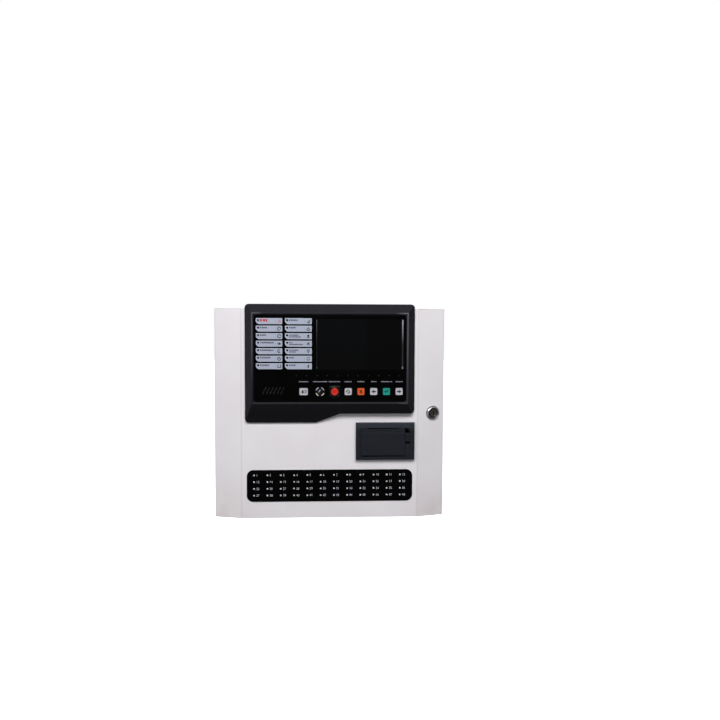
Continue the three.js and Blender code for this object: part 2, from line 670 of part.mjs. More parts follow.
function makeElectronics() {
  add("chassis_plate", chassisPlate(), zincSteel);
  add(
    "main_board",
    block(BOARD_LEFT, BOARD_LEFT + BOARD_WIDTH, BOARD_FACE, BOARD_BACK, BOARD_BOTTOM, BOARD_TOP),
    boardGreen,
  );
  const left = BOARD_LEFT + TERMINAL_MARGIN;
  const right = BOARD_LEFT + BOARD_WIDTH - TERMINAL_MARGIN;
  const upper = BOARD_TOP - TERMINAL_MARGIN - TERMINAL_HEIGHT;
  const lower = BOARD_BOTTOM + TERMINAL_MARGIN;
  add("terminal_block_loops", terminalRow(left, LOOP_TERMINAL_WIDTH, upper, true), terminalGreen);
  add(
    "terminal_block_outputs",
    terminalRow(right - OUTPUT_TERMINAL_WIDTH, OUTPUT_TERMINAL_WIDTH, upper, true),
    terminalGreen,
  );
  add("terminal_block_relays", terminalRow(left, RELAY_TERMINAL_WIDTH, lower, false), terminalGreen);

  const supplyRight = PLATE_RIGHT - BOARD_MARGIN;
  const supplyLeft = supplyRight - SUPPLY_WIDTH;
  const supplyBottom = BOARD_TOP - SUPPLY_HEIGHT;
  const onPlate = PLATE_FACE - SEAM;
  add(
    "power_supply_case",
    block(supplyLeft, supplyRight, onPlate - SUPPLY_DEPTH, onPlate, supplyBottom, BOARD_TOP),
    zincSteel,
  );
  const mainsTop = supplyBottom - 2 * BOARD_MARGIN;
  const mains = [
    [onPlate, mainsTop],
    [onPlate - MAINS_DEPTH * TERMINAL_STEP, mainsTop],
    [onPlate - MAINS_DEPTH, mainsTop - MAINS_HEIGHT / 3],
    [onPlate - MAINS_DEPTH, mainsTop - (2 * MAINS_HEIGHT) / 3],
    [onPlate - MAINS_DEPTH * TERMINAL_STEP, mainsTop - MAINS_HEIGHT],
    [onPlate, mainsTop - MAINS_HEIGHT],
  ];
  add("mains_terminal_block", fromSide(polygon(mains), supplyRight - MAINS_WIDTH, supplyRight), keyGrey);
  const fuse = alongX(rod(FUSE_RADIUS, -FUSE_LENGTH / 2, FUSE_LENGTH / 2, SMALL_ROUND));
  const fuseX = supplyRight - MAINS_WIDTH - BOARD_MARGIN - FUSE_LENGTH / 2;
  add(
    "fuse_holder",
    fuse.translate(fuseX, onPlate - FUSE_RADIUS, mainsTop - MAINS_HEIGHT / 2),
    fuseBlack,
  );
}

function makeBatteries() {
  const back = -SHEET - BATTERY_BACK_GAP;
  const front = back - BATTERY_DEPTH;
  const half = BATTERY_SPACING / 2;
  const top = BATTERY_FLOOR + BATTERY_HEIGHT;
  const battery = (left) => block(left, left + BATTERY_WIDTH, front, back, BATTERY_FLOOR, top);
  add("battery_left", battery(-half - BATTERY_WIDTH), batteryGrey);
  add("battery_right", battery(half), batteryGrey);

  const reach = half + BATTERY_WIDTH + PAST;
  const strapBack = -SHEET - SEAM;
  const strapFront = front - PAST - SHEET;
  const strap = [
    [-reach - SHEET - STRAP_FOOT, strapBack],
    [-reach - SHEET - STRAP_FOOT, strapBack - SHEET],
    [-reach - SHEET, strapBack - SHEET],
    [-reach - SHEET, strapFront],
    [reach + SHEET, strapFront],
    [reach + SHEET, strapBack - SHEET],
    [reach + SHEET + STRAP_FOOT, strapBack - SHEET],
    [reach + SHEET + STRAP_FOOT, strapBack],
    [reach, strapBack],
    [reach, strapFront + SHEET],
    [-reach, strapFront + SHEET],
    [-reach, strapBack],
  ];
  const bottom = BATTERY_FLOOR + STRAP_ABOVE_FLOOR;
  add("battery_strap", fromAbove(polygon(strap), bottom, bottom + STRAP_HEIGHT), zincSteel);
}

// ---------------------------------------------------------------- hinges

function makeHinges() {
  for (const [place, z] of Object.entries(HINGE_LEVELS)) {
    const bore = alongZ(rod(PIN_RADIUS + FIT / 6, -PAST, LEAF_THICK + PAST, SMALL_ROUND));
    const boxLeaf = polygon([
      [HINGE_X - LEAF_HALF_WIDTH + SEAM, LIP_FRONT],
      [HINGE_X - LEAF_HALF_WIDTH + SEAM, HINGE_Y - LEAF_HALF_WIDTH],
      [HINGE_X + LEAF_HALF_WIDTH, HINGE_Y - LEAF_HALF_WIDTH],
      [HINGE_X + LEAF_HALF_WIDTH, LIP_FRONT],
    ]);
    add(
      `hinge_box_leaf_${place}`,
      cut(fromAbove(boxLeaf, z, z + LEAF_THICK), bore.translate(HINGE_X, HINGE_Y, z)),
      zincSteel,
    );
    add(
      `hinge_pin_${place}`,
      alongZ(rod(PIN_RADIUS, -PAST, PIN_LENGTH - PAST, SMALL_ROUND)).translate(HINGE_X, HINGE_Y, z),
      chromeSteel,
    );
    const doorLeafBottom = z + LEAF_THICK + LEAF_GAP;
    const left = -RIGHT + SHEET;
    const doorLeaf = block(
      left,
      left + DOOR_LEAF_LENGTH,
      HINGE_Y - 2 * LEAF_HALF_WIDTH,
      HINGE_Y + 2 * LEAF_HALF_WIDTH,
      doorLeafBottom,
      doorLeafBottom + LEAF_THICK,
    );
    const running = alongZ(rod(PIN_RADIUS + FIT, -PAST, LEAF_THICK + PAST, SMALL_ROUND));
    add(
      `hinge_door_leaf_${place}`,
      cut(doorLeaf, running.translate(HINGE_X, HINGE_Y, doorLeafBottom)),
      zincSteel,
    );
  }
}

// ---------------------------------------------------------------- door

// The door's section from above, a given sheet thickness inside its outer surface.
function doorSection(thickness, back) {
  const side = RIGHT - thickness;
  const foldX = FOLD - thickness * Math.tan(WING_ANGLE / 2);
  const wingY = FACE + (side - FOLD) * Math.tan(WING_ANGLE) + thickness / Math.cos(WING_ANGLE);
  return polygon([
    [-side, back],
    [-side, wingY],
    [-foldX, FACE + thickness],
    [foldX, FACE + thickness],
    [side, wingY],
    [side, back],
  ]);
}

// The lock's middle on the wing, and the frame whose -y points out of the wing there.
const LOCK_X = RIGHT - LOCK_FROM_EDGE;
const LOCK_Y = FACE + (LOCK_X - FOLD) * Math.tan(WING_ANGLE);

const turnToWing = (geometry) => geometry.rotateZ(WING_ANGLE).translate(LOCK_X, LOCK_Y, 0);

function printerCutOut() {
  const room = 2 * FIT;
  return rectangle(
    COVER_LEFT - room,
    LEVER_RIGHT + 2 * room,
    BUCKET_BOTTOM - room,
    BUCKET_TOP + room,
  );
}

function doorPanel() {
  const shell = cut(
    fromAbove(doorSection(0, RIM), -TOP, TOP),
    fromAbove(doorSection(SHEET, RIM + PAST), -TOP + SHEET, TOP - SHEET),
  );
  const through = (points) => faceOn(polygon(points), FACE - PAST, FACE_BACK + PAST);
  const margin = LEDGE_WIDTH + SHEET;
  const window = rectangle(
    -OVERLAY_RIGHT + margin,
    OVERLAY_RIGHT - margin,
    OVERLAY_BOTTOM + margin,
    OVERLAY_TOP - margin,
  );
  const tools = [through(window), through(printerCutOut())];
  for (let row = 0; row < ZONE_ROWS; row += 1) {
    const z = ZONE_Z + (row - (ZONE_ROWS - 1) / 2) * ZONE_ROW_PITCH;
    const x = ZONE_SLOT_WIDTH / 2;
    tools.push(through(rectangle(-x, x, z - ZONE_SLOT_HEIGHT / 2, z + ZONE_SLOT_HEIGHT / 2)));
  }
  tools.push(turnToWing(rod(LOCK_BARREL_RADIUS + FIT, -PAST, SHEET + PAST)));
  const slotFront = HINGE_Y - 2 * LEAF_HALF_WIDTH + PAST;
  const slotLeft = -RIGHT - PAST;
  for (const z of Object.values(HINGE_LEVELS)) {
    const slotTop = z + LEAF_THICK + LEAF_GAP;
    tools.push(block(slotLeft, -RIGHT + SHEET + PAST, slotFront, RIM + PAST, z - PAST, slotTop));
  }
  return cut(shell, ...tools);
}

// ---------------------------------------------------------------- fascia

// The bezel's outline at a rise over the door: upright at first, then sloping in to the crest.
function fasciaRing(rise, wall) {
  const slope = Math.max(0, (rise - FASCIA_EDGE_RISE) / (FASCIA_RISE - FASCIA_EDGE_RISE));
  const between = (outer, crest) => outer + (crest - outer) * slope;
  const corners = rectangle(
    between(-FASCIA_RIGHT, -OVERLAY_RIGHT - CREST_OFFSET),
    between(FASCIA_RIGHT, OVERLAY_RIGHT + CREST_OFFSET),
    between(FASCIA_BOTTOM, OVERLAY_BOTTOM - CREST_OFFSET),
    between(FASCIA_TOP, OVERLAY_TOP + CREST_OFFSET),
  );
  return { rise, corners: inset(corners, wall) };
}

const fasciaOutline = [
  [-FASCIA_RIGHT, FASCIA_BOTTOM],
  [-FASCIA_RIGHT + STEP_START, FASCIA_BOTTOM],
  [-FASCIA_RIGHT + STEP_START + STEP_RUN, FASCIA_STEP],
  [FASCIA_RIGHT, FASCIA_STEP],
  [FASCIA_RIGHT, FASCIA_TOP],
  [-FASCIA_RIGHT, FASCIA_TOP],
];

const overlayCorners = (grow) =>
  rectangle(
    -OVERLAY_RIGHT - grow,
    OVERLAY_RIGHT + grow,
    OVERLAY_BOTTOM - grow,
    OVERLAY_TOP + grow,
  );

function fasciaBezel() {
  const outside = common(
    hullOf([fasciaRing(0, 0), fasciaRing(FASCIA_EDGE_RISE, 0), fasciaRing(FASCIA_RISE, 0)]),
    faceOn(rounded(fasciaOutline, FASCIA_CORNER), out(FASCIA_RISE + PAST), out(-PAST)),
  );
  const hollow = common(
    hullOf([
      fasciaRing(-PAST, FASCIA_WALL),
      fasciaRing(FASCIA_EDGE_RISE, FASCIA_WALL),
      fasciaRing(LEDGE_BACK_RISE, FASCIA_WALL),
    ]),
    faceOn(
      rounded(inset(fasciaOutline, FASCIA_WALL), FASCIA_CORNER - FASCIA_WALL),
      out(FASCIA_RISE),
      out(-2 * PAST),
    ),
    block(-FASCIA_RIGHT, FASCIA_RIGHT, out(FASCIA_RISE), out(-2 * PAST), FASCIA_BOTTOM, TOP - SHEET),
  );
  const innerEdge = CREST_OFFSET - CREST_LAND;
  const chamfer = hullOf([
    { rise: OVERLAY_RISE, corners: overlayCorners(0) },
    { rise: FASCIA_RISE, corners: overlayCorners(innerEdge) },
    { rise: FASCIA_RISE + PAST, corners: overlayCorners(innerEdge) },
  ]);
  const pocket = faceOn(
    rounded(overlayCorners(0), OVERLAY_RADIUS),
    out(OVERLAY_RISE + OVERLAY_DROP / 2),
    out(OVERLAY_BACK_RISE),
  );
  const opening = faceOn(
    polygon(overlayCorners(-LEDGE_WIDTH)),
    out(OVERLAY_RISE),
    out(LEDGE_BACK_RISE - PAST),
  );
  return cut(outside, hollow, chamfer, pocket, opening);
}

function grilleSlot(index) {
  const x = SPEAKER_X + (index - (GRILLE_SLOTS - 1) / 2) * GRILLE_PITCH;
  const middle = new THREE.Vector2(0, 0);
  const corners = rectangle(
    -GRILLE_WIDTH / 2,
    GRILLE_WIDTH / 2,
    -GRILLE_LENGTH / 2,
    GRILLE_LENGTH / 2,
  );
  return new THREE.Path(
    corners.map(([a, b]) => {
      const p = new THREE.Vector2(a, b).rotateAround(middle, -GRILLE_LEAN);
      return new THREE.Vector2(p.x + x, p.y + SPEAKER_Z);
    }),
  );
}

function centredRectangle(x, z, width, height) {
  return rectangle(x - width / 2, x + width / 2, z - height / 2, z + height / 2);
}

const keys = [
  ...KEY_NAMES.map((name, index) => ({ name, x: keyX(index), width: KEY })),
  { name: "key_function", x: FUNCTION_X, width: FUNCTION_KEY_WIDTH },
];

function fasciaOverlay() {
  const shape = rounded(overlayCorners(-FIT), OVERLAY_RADIUS - FIT);
  for (const { x, width } of keys)
    shape.holes.push(
      rounded(centredRectangle(x, KEY_Z, width + 2 * RUN, KEY + 2 * RUN), KEY_RADIUS + RUN, THREE.Path),
    );
  shape.holes.push(roundHole(SWITCH_X, KEY_Z, SWITCH_BARREL_RADIUS + FIT));
  shape.holes.push(roundHole(EVAC_X, KEY_Z, EVAC_BUTTON_RADIUS + 2 * RUN + FIT));
  for (let index = 0; index < GRILLE_SLOTS; index += 1) shape.holes.push(grilleSlot(index));
  return faceOn(shape, out(OVERLAY_RISE), out(OVERLAY_BACK_RISE));
}

// A key cap with a flange that keeps it behind the overlay, and a stem to its contact.
function keyCap(x, width) {
  const cap = faceOn(
    rounded(centredRectangle(x, KEY_Z, width, KEY), KEY_RADIUS),
    out(OVERLAY_RISE + KEY_PROUD),
    out(OVERLAY_BACK_RISE - FIT),
  );
  const flangeBack = OVERLAY_BACK_RISE - FIT - SHEET;
  const flange = faceOn(
    polygon(centredRectangle(x, KEY_Z, width + 2 * KEY_FLANGE, KEY + 2 * KEY_FLANGE)),
    out(OVERLAY_BACK_RISE - FIT),
    out(flangeBack),
  );
  const stem = rod(KEY_RADIUS, out(flangeBack), out(FASCIA_BOARD_RISE + KEY_TRAVEL + RUN), SMALL_ROUND);
  return join(cap, flange, stem.translate(x, 0, KEY_Z));
}

function fasciaBoard() {
  const front = out(FASCIA_BOARD_RISE);
  const back = front + BOARD_THICK;
  const hole = (radius) => rod(radius + 2 * FIT, front - PAST, back + PAST);
  return cut(
    faceOn(polygon(overlayCorners(-LEDGE_WIDTH - 2 * PAST)), front, back),
    hole(SWITCH_BARREL_RADIUS).translate(SWITCH_X, 0, KEY_Z),
    hole(SPEAKER_RADIUS).translate(SPEAKER_X, 0, SPEAKER_Z),
  );
}

function displayModule() {
  const right = OVERLAY_RIGHT - LEDGE_WIDTH - 2 * FIT;
  const left = OVERLAY_RIGHT - SCREEN_RIGHT_MARGIN - SCREEN_WIDTH;
  const top = OVERLAY_TOP - SCREEN_TOP_MARGIN;
  return block(
    left,
    right,
    out(OVERLAY_BACK_RISE - FIT),
    out(DISPLAY_BACK_RISE),
    top - SCREEN_HEIGHT,
    top,
  );
}

function speaker() {
  const front = out(OVERLAY_BACK_RISE - FIT);
  const back = front + SPEAKER_DEPTH;
  const magnet = SPEAKER_RADIUS * MAGNET;
  const profile = [
    [0, front + SPEAKER_DEPTH * CONE],
    [SPEAKER_RADIUS - SPEAKER_RIM, front],
    [SPEAKER_RADIUS, front],
    [SPEAKER_RADIUS, front + SPEAKER_DEPTH * CONE],
    [magnet, front + SPEAKER_DEPTH * MAGNET],
    [magnet, back],
    [0, back],
  ];
  return turned(profile).translate(SPEAKER_X, 0, SPEAKER_Z);
}

function makeFascia() {
  add("fascia_bezel", fasciaBezel(), fasciaPlastic);
  add("fascia_overlay", fasciaOverlay(), glossBlack);
  add("display_module", displayModule(), displayGrey);
  add("fascia_board", fasciaBoard(), boardGreen);
  add("speaker", speaker(), blackRubber);
  const finishes = { key_mute: keyOrange, key_confirm: keyTeal };
  for (const { name, x, width } of keys) add(name, keyCap(x, width), finishes[name] ?? keyGrey);
}

// ---------------------------------------------------------------- key switch

// The slot that a key goes into, open at its front.
const keyway = ({ width, height, depth }, front) =>
  block(-width / 2, width / 2, front - PAST, front - PAST + depth, -height / 2, height / 2);

function makeKeySwitch() {
  const front = out(OVERLAY_RISE);
  const flangeFront = front - SHEET;
  const back = front + SWITCH_DEPTH;
  const bore = SWITCH_PLUG_RADIUS + RUN;
  const barrel = [
    [bore, flangeFront],
    [SWITCH_FLANGE_RADIUS, flangeFront],
    [SWITCH_FLANGE_RADIUS, front],
    [SWITCH_BARREL_RADIUS, front],
    [SWITCH_BARREL_RADIUS, back],
    [bore, back],
    [bore, flangeFront],
  ];
  add("key_switch_barrel", turned(barrel).translate(SWITCH_X, 0, KEY_Z), fasciaPlastic);
  const plug = rod(SWITCH_PLUG_RADIUS, flangeFront - RUN, back + PAST);
  const keyed = cut(plug, keyway(KEYWAY, flangeFront).rotateY(KEYWAY_LEAN));
  add("key_switch_plug", keyed.translate(SWITCH_X, 0, KEY_Z), chromeSteel);
}

// ---------------------------------------------------------------- evacuation button

const EVAC_TOP = EVAC_Z + EVAC_BUTTON_RADIUS + EVAC_END_MARGIN;
const EVAC_BOTTOM = EVAC_Z - EVAC_BUTTON_RADIUS - EVAC_END_MARGIN;
const EVAC_PIN_Z = EVAC_TOP - EVAC_PIN_BELOW_TOP;
const EVAC_PIN_Y = out(OVERLAY_RISE + EVAC_PIN_RISE);

const evacPinRod = (radius, left, right) =>
  alongX(rod(radius, left, right, SMALL_ROUND)).translate(0, EVAC_PIN_Y, EVAC_PIN_Z);

function evacHousing() {
  const base = block(
    EVAC_LEFT,
    EVAC_RIGHT,
    out(OVERLAY_RISE + EVAC_BASE_RISE),
    out(OVERLAY_RISE),
    EVAC_BOTTOM,
    EVAC_TOP,
  );
  const ear = (left) =>
    block(
      left,
      left + EVAC_EAR.width,
      EVAC_PIN_Y - EVAC_EAR.front,
      out(OVERLAY_RISE + PAST),
      EVAC_PIN_Z - EVAC_EAR.below,
      EVAC_PIN_Z + EVAC_EAR.above,
    );
  const inner = EVAC_COVER_WALL + RUN;
  const neckRadius = EVAC_BUTTON_RADIUS + 2 * RUN;
  const neckBack = out(OVERLAY_BACK_RISE - FIT);
  const neck = rod(neckRadius, out(OVERLAY_RISE + PAST), neckBack).translate(EVAC_X, 0, KEY_Z);
  const wellFront = out(OVERLAY_RISE + EVAC_BASE_RISE + PAST);
  const well = rod(EVAC_BUTTON_RADIUS + RUN, wellFront, neckBack + PAST);
  return cut(
    join(base, ear(EVAC_LEFT + inner), ear(EVAC_RIGHT - inner - EVAC_EAR.width), neck),
    well.translate(EVAC_X, 0, KEY_Z),
    evacPinRod(EVAC_PIN_RADIUS + FIT / 3, EVAC_LEFT, EVAC_RIGHT),
  );
}

function evacButton() {
  const face = out(OVERLAY_RISE + EVAC_BUTTON_RISE);
  const capBack = out(OVERLAY_BACK_RISE - FIT - RUN);
  const stemBack = out(FASCIA_BOARD_RISE + EVAC_TRAVEL + RUN);
  const profile = [
    [0, face + EVAC_DISH],
    [EVAC_BUTTON_RADIUS - EVAC_RIM.inner, face],
    [EVAC_BUTTON_RADIUS - EVAC_RIM.outer, face],
    [EVAC_BUTTON_RADIUS, face + EVAC_RIM.outer],
    [EVAC_BUTTON_RADIUS, capBack],
    [STEM_RADIUS, capBack],
    [STEM_RADIUS, stemBack],
    [0, stemBack],
  ];
  return turned(profile).translate(EVAC_X, 0, KEY_Z);
}

// A clear shell over the button, hinged near its top edge, with a finger tab below. Its top is
// notched where the housing's ears stand, and ends at the pin, so that it swings clear of them and
// of the button.
function evacCover() {
  const front = out(OVERLAY_RISE + EVAC_COVER_RISE);
  const back = out(OVERLAY_RISE + EVAC_BASE_RISE + FIT);
  const wall = EVAC_COVER_WALL;
  const side = polygon([
    [front, EVAC_BOTTOM],
    [back, EVAC_BOTTOM],
    [back, EVAC_PIN_Z + EVAC_PIN_RADIUS],
    [EVAC_PIN_Y + EVAC_PIN_RADIUS, EVAC_TOP],
    [front, EVAC_TOP],
  ]);
  const inside = block(
    EVAC_LEFT + wall,
    EVAC_RIGHT - wall,
    front + wall,
    back + PAST,
    EVAC_BOTTOM + wall,
    EVAC_TOP - wall,
  );
  const tabOutline = [
    [EVAC_X - EVAC_TAB.top, EVAC_BOTTOM + PAST / 2],
    [EVAC_X - EVAC_TAB.foot, EVAC_BOTTOM - EVAC_TAB.height],
    [EVAC_X + EVAC_TAB.foot, EVAC_BOTTOM - EVAC_TAB.height],
    [EVAC_X + EVAC_TAB.top, EVAC_BOTTOM + PAST / 2],
  ];
  const tab = faceOn(rounded(tabOutline, EVAC_TAB.radius), front, front + 2 * wall);
  const notchWidth = 2 * RUN + EVAC_EAR.width;
  const notch = (left) =>
    block(left, left + notchWidth, front + wall, back + PAST, EVAC_PIN_Z, EVAC_TOP + PAST);
  const behindPin = block(
    EVAC_LEFT + wall,
    EVAC_RIGHT - wall,
    EVAC_PIN_Y + EVAC_PIN_RADIUS,
    back + PAST,
    EVAC_PIN_Z,
    EVAC_TOP + PAST,
  );
  return cut(
    join(fromSide(side, EVAC_LEFT, EVAC_RIGHT), tab),
    inside,
    behindPin,
    notch(EVAC_LEFT + wall),
    notch(EVAC_RIGHT - wall - notchWidth),
    evacPinRod(EVAC_PIN_RADIUS + FIT, EVAC_LEFT - PAST, EVAC_RIGHT + PAST),
  );
}

function makeEvacuation() {
  add("evac_housing", evacHousing(), fasciaPlastic);
  add("evac_button", evacButton(), evacRed);
  add("evac_cover", evacCover(), clearPlastic);
  add("evac_cover_pin", evacPinRod(EVAC_PIN_RADIUS, EVAC_LEFT + FIT, EVAC_RIGHT - FIT), chromeSteel);
}

// ---------------------------------------------------------------- zone strip

function makeZoneStrip() {
  const half = ZONE_WIDTH / 2;
  const bottom = ZONE_Z - ZONE_HEIGHT / 2;
  const top = ZONE_Z + ZONE_HEIGHT / 2;
  add(
    "zone_overlay",
    faceOn(rounded(rectangle(-half, half, bottom, top), ZONE_RADIUS), FACE - ZONE_THICK, FACE),
    glossBlack,
  );
  const boardFront = FACE_BACK + ZONE_BOARD_GAP;
  const margin = ZONE_RADIUS / 3;
  const board = rectangle(-half + margin, half - margin, bottom + margin, top - margin);
  add("zone_led_board", faceOn(polygon(board), boardFront, boardFront + BOARD_THICK), boardGreen);
}

// ---------------------------------------------------------------- cam lock

function makeLock() {
  const lock = new THREE.Group();
  lock.position.set(LOCK_X, LOCK_Y, 0);
  lock.rotation.z = WING_ANGLE;
  panel.add(lock);

  const bore = LOCK_PLUG_RADIUS + RUN;
  const flange = LOCK_BARREL_RADIUS + LOCK_FLANGE;
  const body = [
    [bore, -LOCK_FLANGE_RISE],
    [flange - LOCK_FLANGE_BEVEL, -LOCK_FLANGE_RISE],
    [flange, -LOCK_FLANGE_RISE + LOCK_FLANGE_BEVEL],
    [flange, -FIT],
    [LOCK_BARREL_RADIUS, -FIT],
    [LOCK_BARREL_RADIUS, LOCK_BARREL_DEPTH],
    [bore, LOCK_BARREL_DEPTH],
    [bore, -LOCK_FLANGE_RISE],
  ];
  add("lock_body", turned(body), chromeSteel, lock);

  const nutFront = SHEET + FIT;
  const nutBack = nutFront + LOCK_NUT_THICK;
  const nut = cut(
    rod(LOCK_BARREL_RADIUS + LOCK_NUT_CORNER, nutFront, nutBack, 6),
    rod(LOCK_BARREL_RADIUS + FIT, nutFront - PAST, nutBack + PAST),
  );
  add("lock_nut", nut, chromeSteel, lock);

  const plugFront = -LOCK_FLANGE_RISE - RUN;
  const plug = join(
    rod(LOCK_PLUG_RADIUS, plugFront, LOCK_BARREL_DEPTH + RUN),
    rod(LOCK_PLUG_RADIUS / 2, LOCK_BARREL_DEPTH, CAM_DEPTH + CAM_THICK + CAM_SCREW, SMALL_ROUND),
  );
  add("lock_plug", cut(plug, keyway(LOCK_KEYWAY, plugFront)), chromeSteel, lock);

  const half = CAM_WIDTH / 2;
  const cam = rounded(rectangle(-half, half, -CAM_REACH, half), CAM_RADIUS);
  cam.holes.push(roundHole(0, 0, LOCK_PLUG_RADIUS / 2 + FIT));
  add("lock_cam", faceOn(cam, CAM_DEPTH, CAM_DEPTH + CAM_THICK), zincSteel, lock);
}

// ---------------------------------------------------------------- printer

const printerRing = (rise, margin) => ({
  rise,
  corners: rectangle(
    PRINTER_LEFT + margin,
    PRINTER_RIGHT - margin,
    PRINTER_BOTTOM + margin,
    PRINTER_TOP - margin,
  ),
});

function printerBezel() {
  const plate = hullOf([
    printerRing(0, 0),
    printerRing(PRINTER_RISE - PRINTER_BEVEL, 0),
    printerRing(PRINTER_RISE, PRINTER_BEVEL),
  ]);
  const through = (points, back = -PAST) =>
    faceOn(polygon(points), out(PRINTER_RISE + PAST), out(back));
  const cover = rectangle(
    COVER_LEFT - RUN,
    COVER_RIGHT + RUN,
    COVER_BOTTOM - COVER_FOOT_GAP,
    COVER_TOP + RUN,
  );
  const lever = rectangle(
    COVER_RIGHT,
    LEVER_RIGHT + RUN,
    LEVER_BOTTOM - LEVER_FINGER_GAP,
    LEVER_TOP + RUN,
  );
  const recess = rectangle(
    LEVER_LEFT,
    LEVER_RIGHT,
    LEVER_TOP + RECESS_GAP.below,
    COVER_TOP - RECESS_GAP.above,
  );
  const feed = rod(FEED_RADIUS + RUN, out(PRINTER_RISE + PAST), out(-PAST), SMALL_ROUND);
  return cut(
    plate,
    through(cover),
    through(lever),
    through(recess, PRINTER_RISE - RECESS_GAP.depth),
    feed.translate(LEVER_X, 0, PRINTER_BOTTOM + FEED_BOTTOM_MARGIN),
  );
}

const BUCKET_LEFT = COVER_LEFT + FIT;
const BUCKET_RIGHT = COVER_RIGHT - FIT;

function printerChassis() {
  const back = out(-BUCKET_DEPTH);
  const front = out(BUCKET_FRONT_RISE);
  const outer = block(BUCKET_LEFT, BUCKET_RIGHT, front, back, BUCKET_BOTTOM, BUCKET_TOP);
  const inner = block(
    BUCKET_LEFT + BUCKET_WALL,
    BUCKET_RIGHT - BUCKET_WALL,
    front - PAST,
    back - BUCKET_WALL,
    BUCKET_BOTTOM + BUCKET_WALL,
    BUCKET_TOP - BUCKET_WALL,
  );
  return cut(outer, inner);
}

function thermalHead() {
  const front = out(PLATEN_RISE - PLATEN_RADIUS - FIT);
  return block(
    BUCKET_LEFT + BUCKET_WALL + FIT,
    BUCKET_RIGHT - BUCKET_WALL - FIT,
    front,
    front + HEAD_THICK,
    PLATEN_Z - HEAD_BELOW,
    BUCKET_TOP - BUCKET_WALL - FIT,
  );
}

const CHEEK_INNER = PAPER_WIDTH / 2 + RUN;

function platenRoller() {
  const half = PAPER_WIDTH / 2;
  const end = CHEEK_INNER + CHEEK;
  const profile = [
    [0, -end],
    [PLATEN_SHAFT_RADIUS, -end],
    [PLATEN_SHAFT_RADIUS, -half],
    [PLATEN_RADIUS, -half],
    [PLATEN_RADIUS, half],
    [PLATEN_SHAFT_RADIUS, half],
    [PLATEN_SHAFT_RADIUS, end],
    [0, end],
  ];
  return alongX(turned(profile, SMALL_ROUND)).translate(COVER_X, out(PLATEN_RISE), PLATEN_Z);
}

// The paper door: a plate with two cheeks that carry the platen, and a notch where the ticket leaves.
function printerDoor() {
  const front = out(COVER_BACK_RISE + COVER_THICK);
  const back = out(COVER_BACK_RISE);
  const plate = polygon([
    [back, COVER_TOP],
    [front + COVER_BEVEL, COVER_TOP],
    [front, COVER_TOP - COVER_BEVEL],
    [front, COVER_AXIS_Z - COVER_BEVEL / 2],
    [out(COVER_AXIS_RISE + COVER_BEVEL / 2), COVER_BOTTOM],
    [back, COVER_BOTTOM],
  ]);
  const half = PAPER_WIDTH / 2;
  const notch = block(
    COVER_X - half,
    COVER_X + half,
    front - PAST,
    back + PAST,
    COVER_TOP - PAPER_SLOT,
    COVER_TOP + PAST,
  );
  const cheek = (left) =>
    block(
      left,
      left + CHEEK,
      back - PAST,
      out(PLATEN_RISE - CHEEK_BEHIND),
      PLATEN_Z - CHEEK_BELOW,
      PLATEN_Z + CHEEK_ABOVE,
    );
  const axle = alongX(
    rod(PLATEN_SHAFT_RADIUS + FIT, -CHEEK_INNER - CHEEK - PAST, CHEEK_INNER + CHEEK + PAST, SMALL_ROUND),
  );
  return cut(
    join(
      fromSide(plate, COVER_LEFT, COVER_RIGHT),
      cheek(COVER_X - CHEEK_INNER - CHEEK),
      cheek(COVER_X + CHEEK_INNER),
    ),
    notch,
    axle.translate(COVER_X, out(PLATEN_RISE), PLATEN_Z),
  );
}

// The release lever: a plate with a rounded foot that a finger pulls, and an arm to the catch.
function printerLatch() {
  const front = out(PRINTER_RISE + LEVER_RISE);
  const back = front + LEVER_THICK;
  const plate = polygon([
    [back, LEVER_TOP],
    [front + PAST, LEVER_TOP],
    [front, LEVER_TOP - PAST],
    [front, LEVER_BOTTOM + PAST],
    [front + PAST, LEVER_BOTTOM],
    [back, LEVER_BOTTOM],
  ]);
  const armTop = LEVER_TOP - PAST;
  const arm = block(
    LEVER_X - LEVER_ARM.width / 2,
    LEVER_X + LEVER_ARM.width / 2,
    back - PAST,
    back + LEVER_ARM.length,
    armTop - LEVER_ARM.height,
    armTop,
  );
  return join(fromSide(plate, LEVER_LEFT, LEVER_RIGHT), arm);
}

function makePrinter() {
  add("printer_bezel", printerBezel(), fasciaPlastic);
  add("printer_chassis", printerChassis(), fasciaPlastic);
  add("thermal_head", thermalHead(), zincSteel);
  add("printer_door", printerDoor(), fasciaPlastic);
  add("platen_roller", platenRoller(), blackRubber);
  add("printer_latch", printerLatch(), fasciaPlastic);
  const feedFace = out(PRINTER_RISE + FEED_RISE);
  const feed = rod(FEED_RADIUS, feedFace, feedFace + FEED_LENGTH, SMALL_ROUND);
  add("feed_button", feed.translate(LEVER_X, 0, PRINTER_BOTTOM + FEED_BOTTOM_MARGIN), fasciaPlastic);
  const rollZ = BUCKET_BOTTOM + BUCKET_WALL + ROLL_RADIUS + ROLL_ABOVE_FLOOR;
  const half = PAPER_WIDTH / 2;
  add(
    "paper_roll",
    alongX(tube(ROLL_RADIUS, ROLL_BORE, -half, half)).translate(COVER_X, out(-ROLL_DEPTH), rollZ),
    paper,
  );
}

// ---------------------------------------------------------------- the panel

makeBox();
makeElectronics();
makeBatteries();
makeHinges();
add("door_panel", doorPanel(), cabinetPaint);
makeFascia();
makeKeySwitch();
makeEvacuation();
makeZoneStrip();
makeLock();
makePrinter();

export default panel;
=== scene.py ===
"""A wall-hung fire alarm control panel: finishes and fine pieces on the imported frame.

Forms are made in millimetres in the part's own axes: x to the right for someone facing the panel,
y into the wall and z up. A piece is scaled to metres when it is put in the scene.
"""

import math

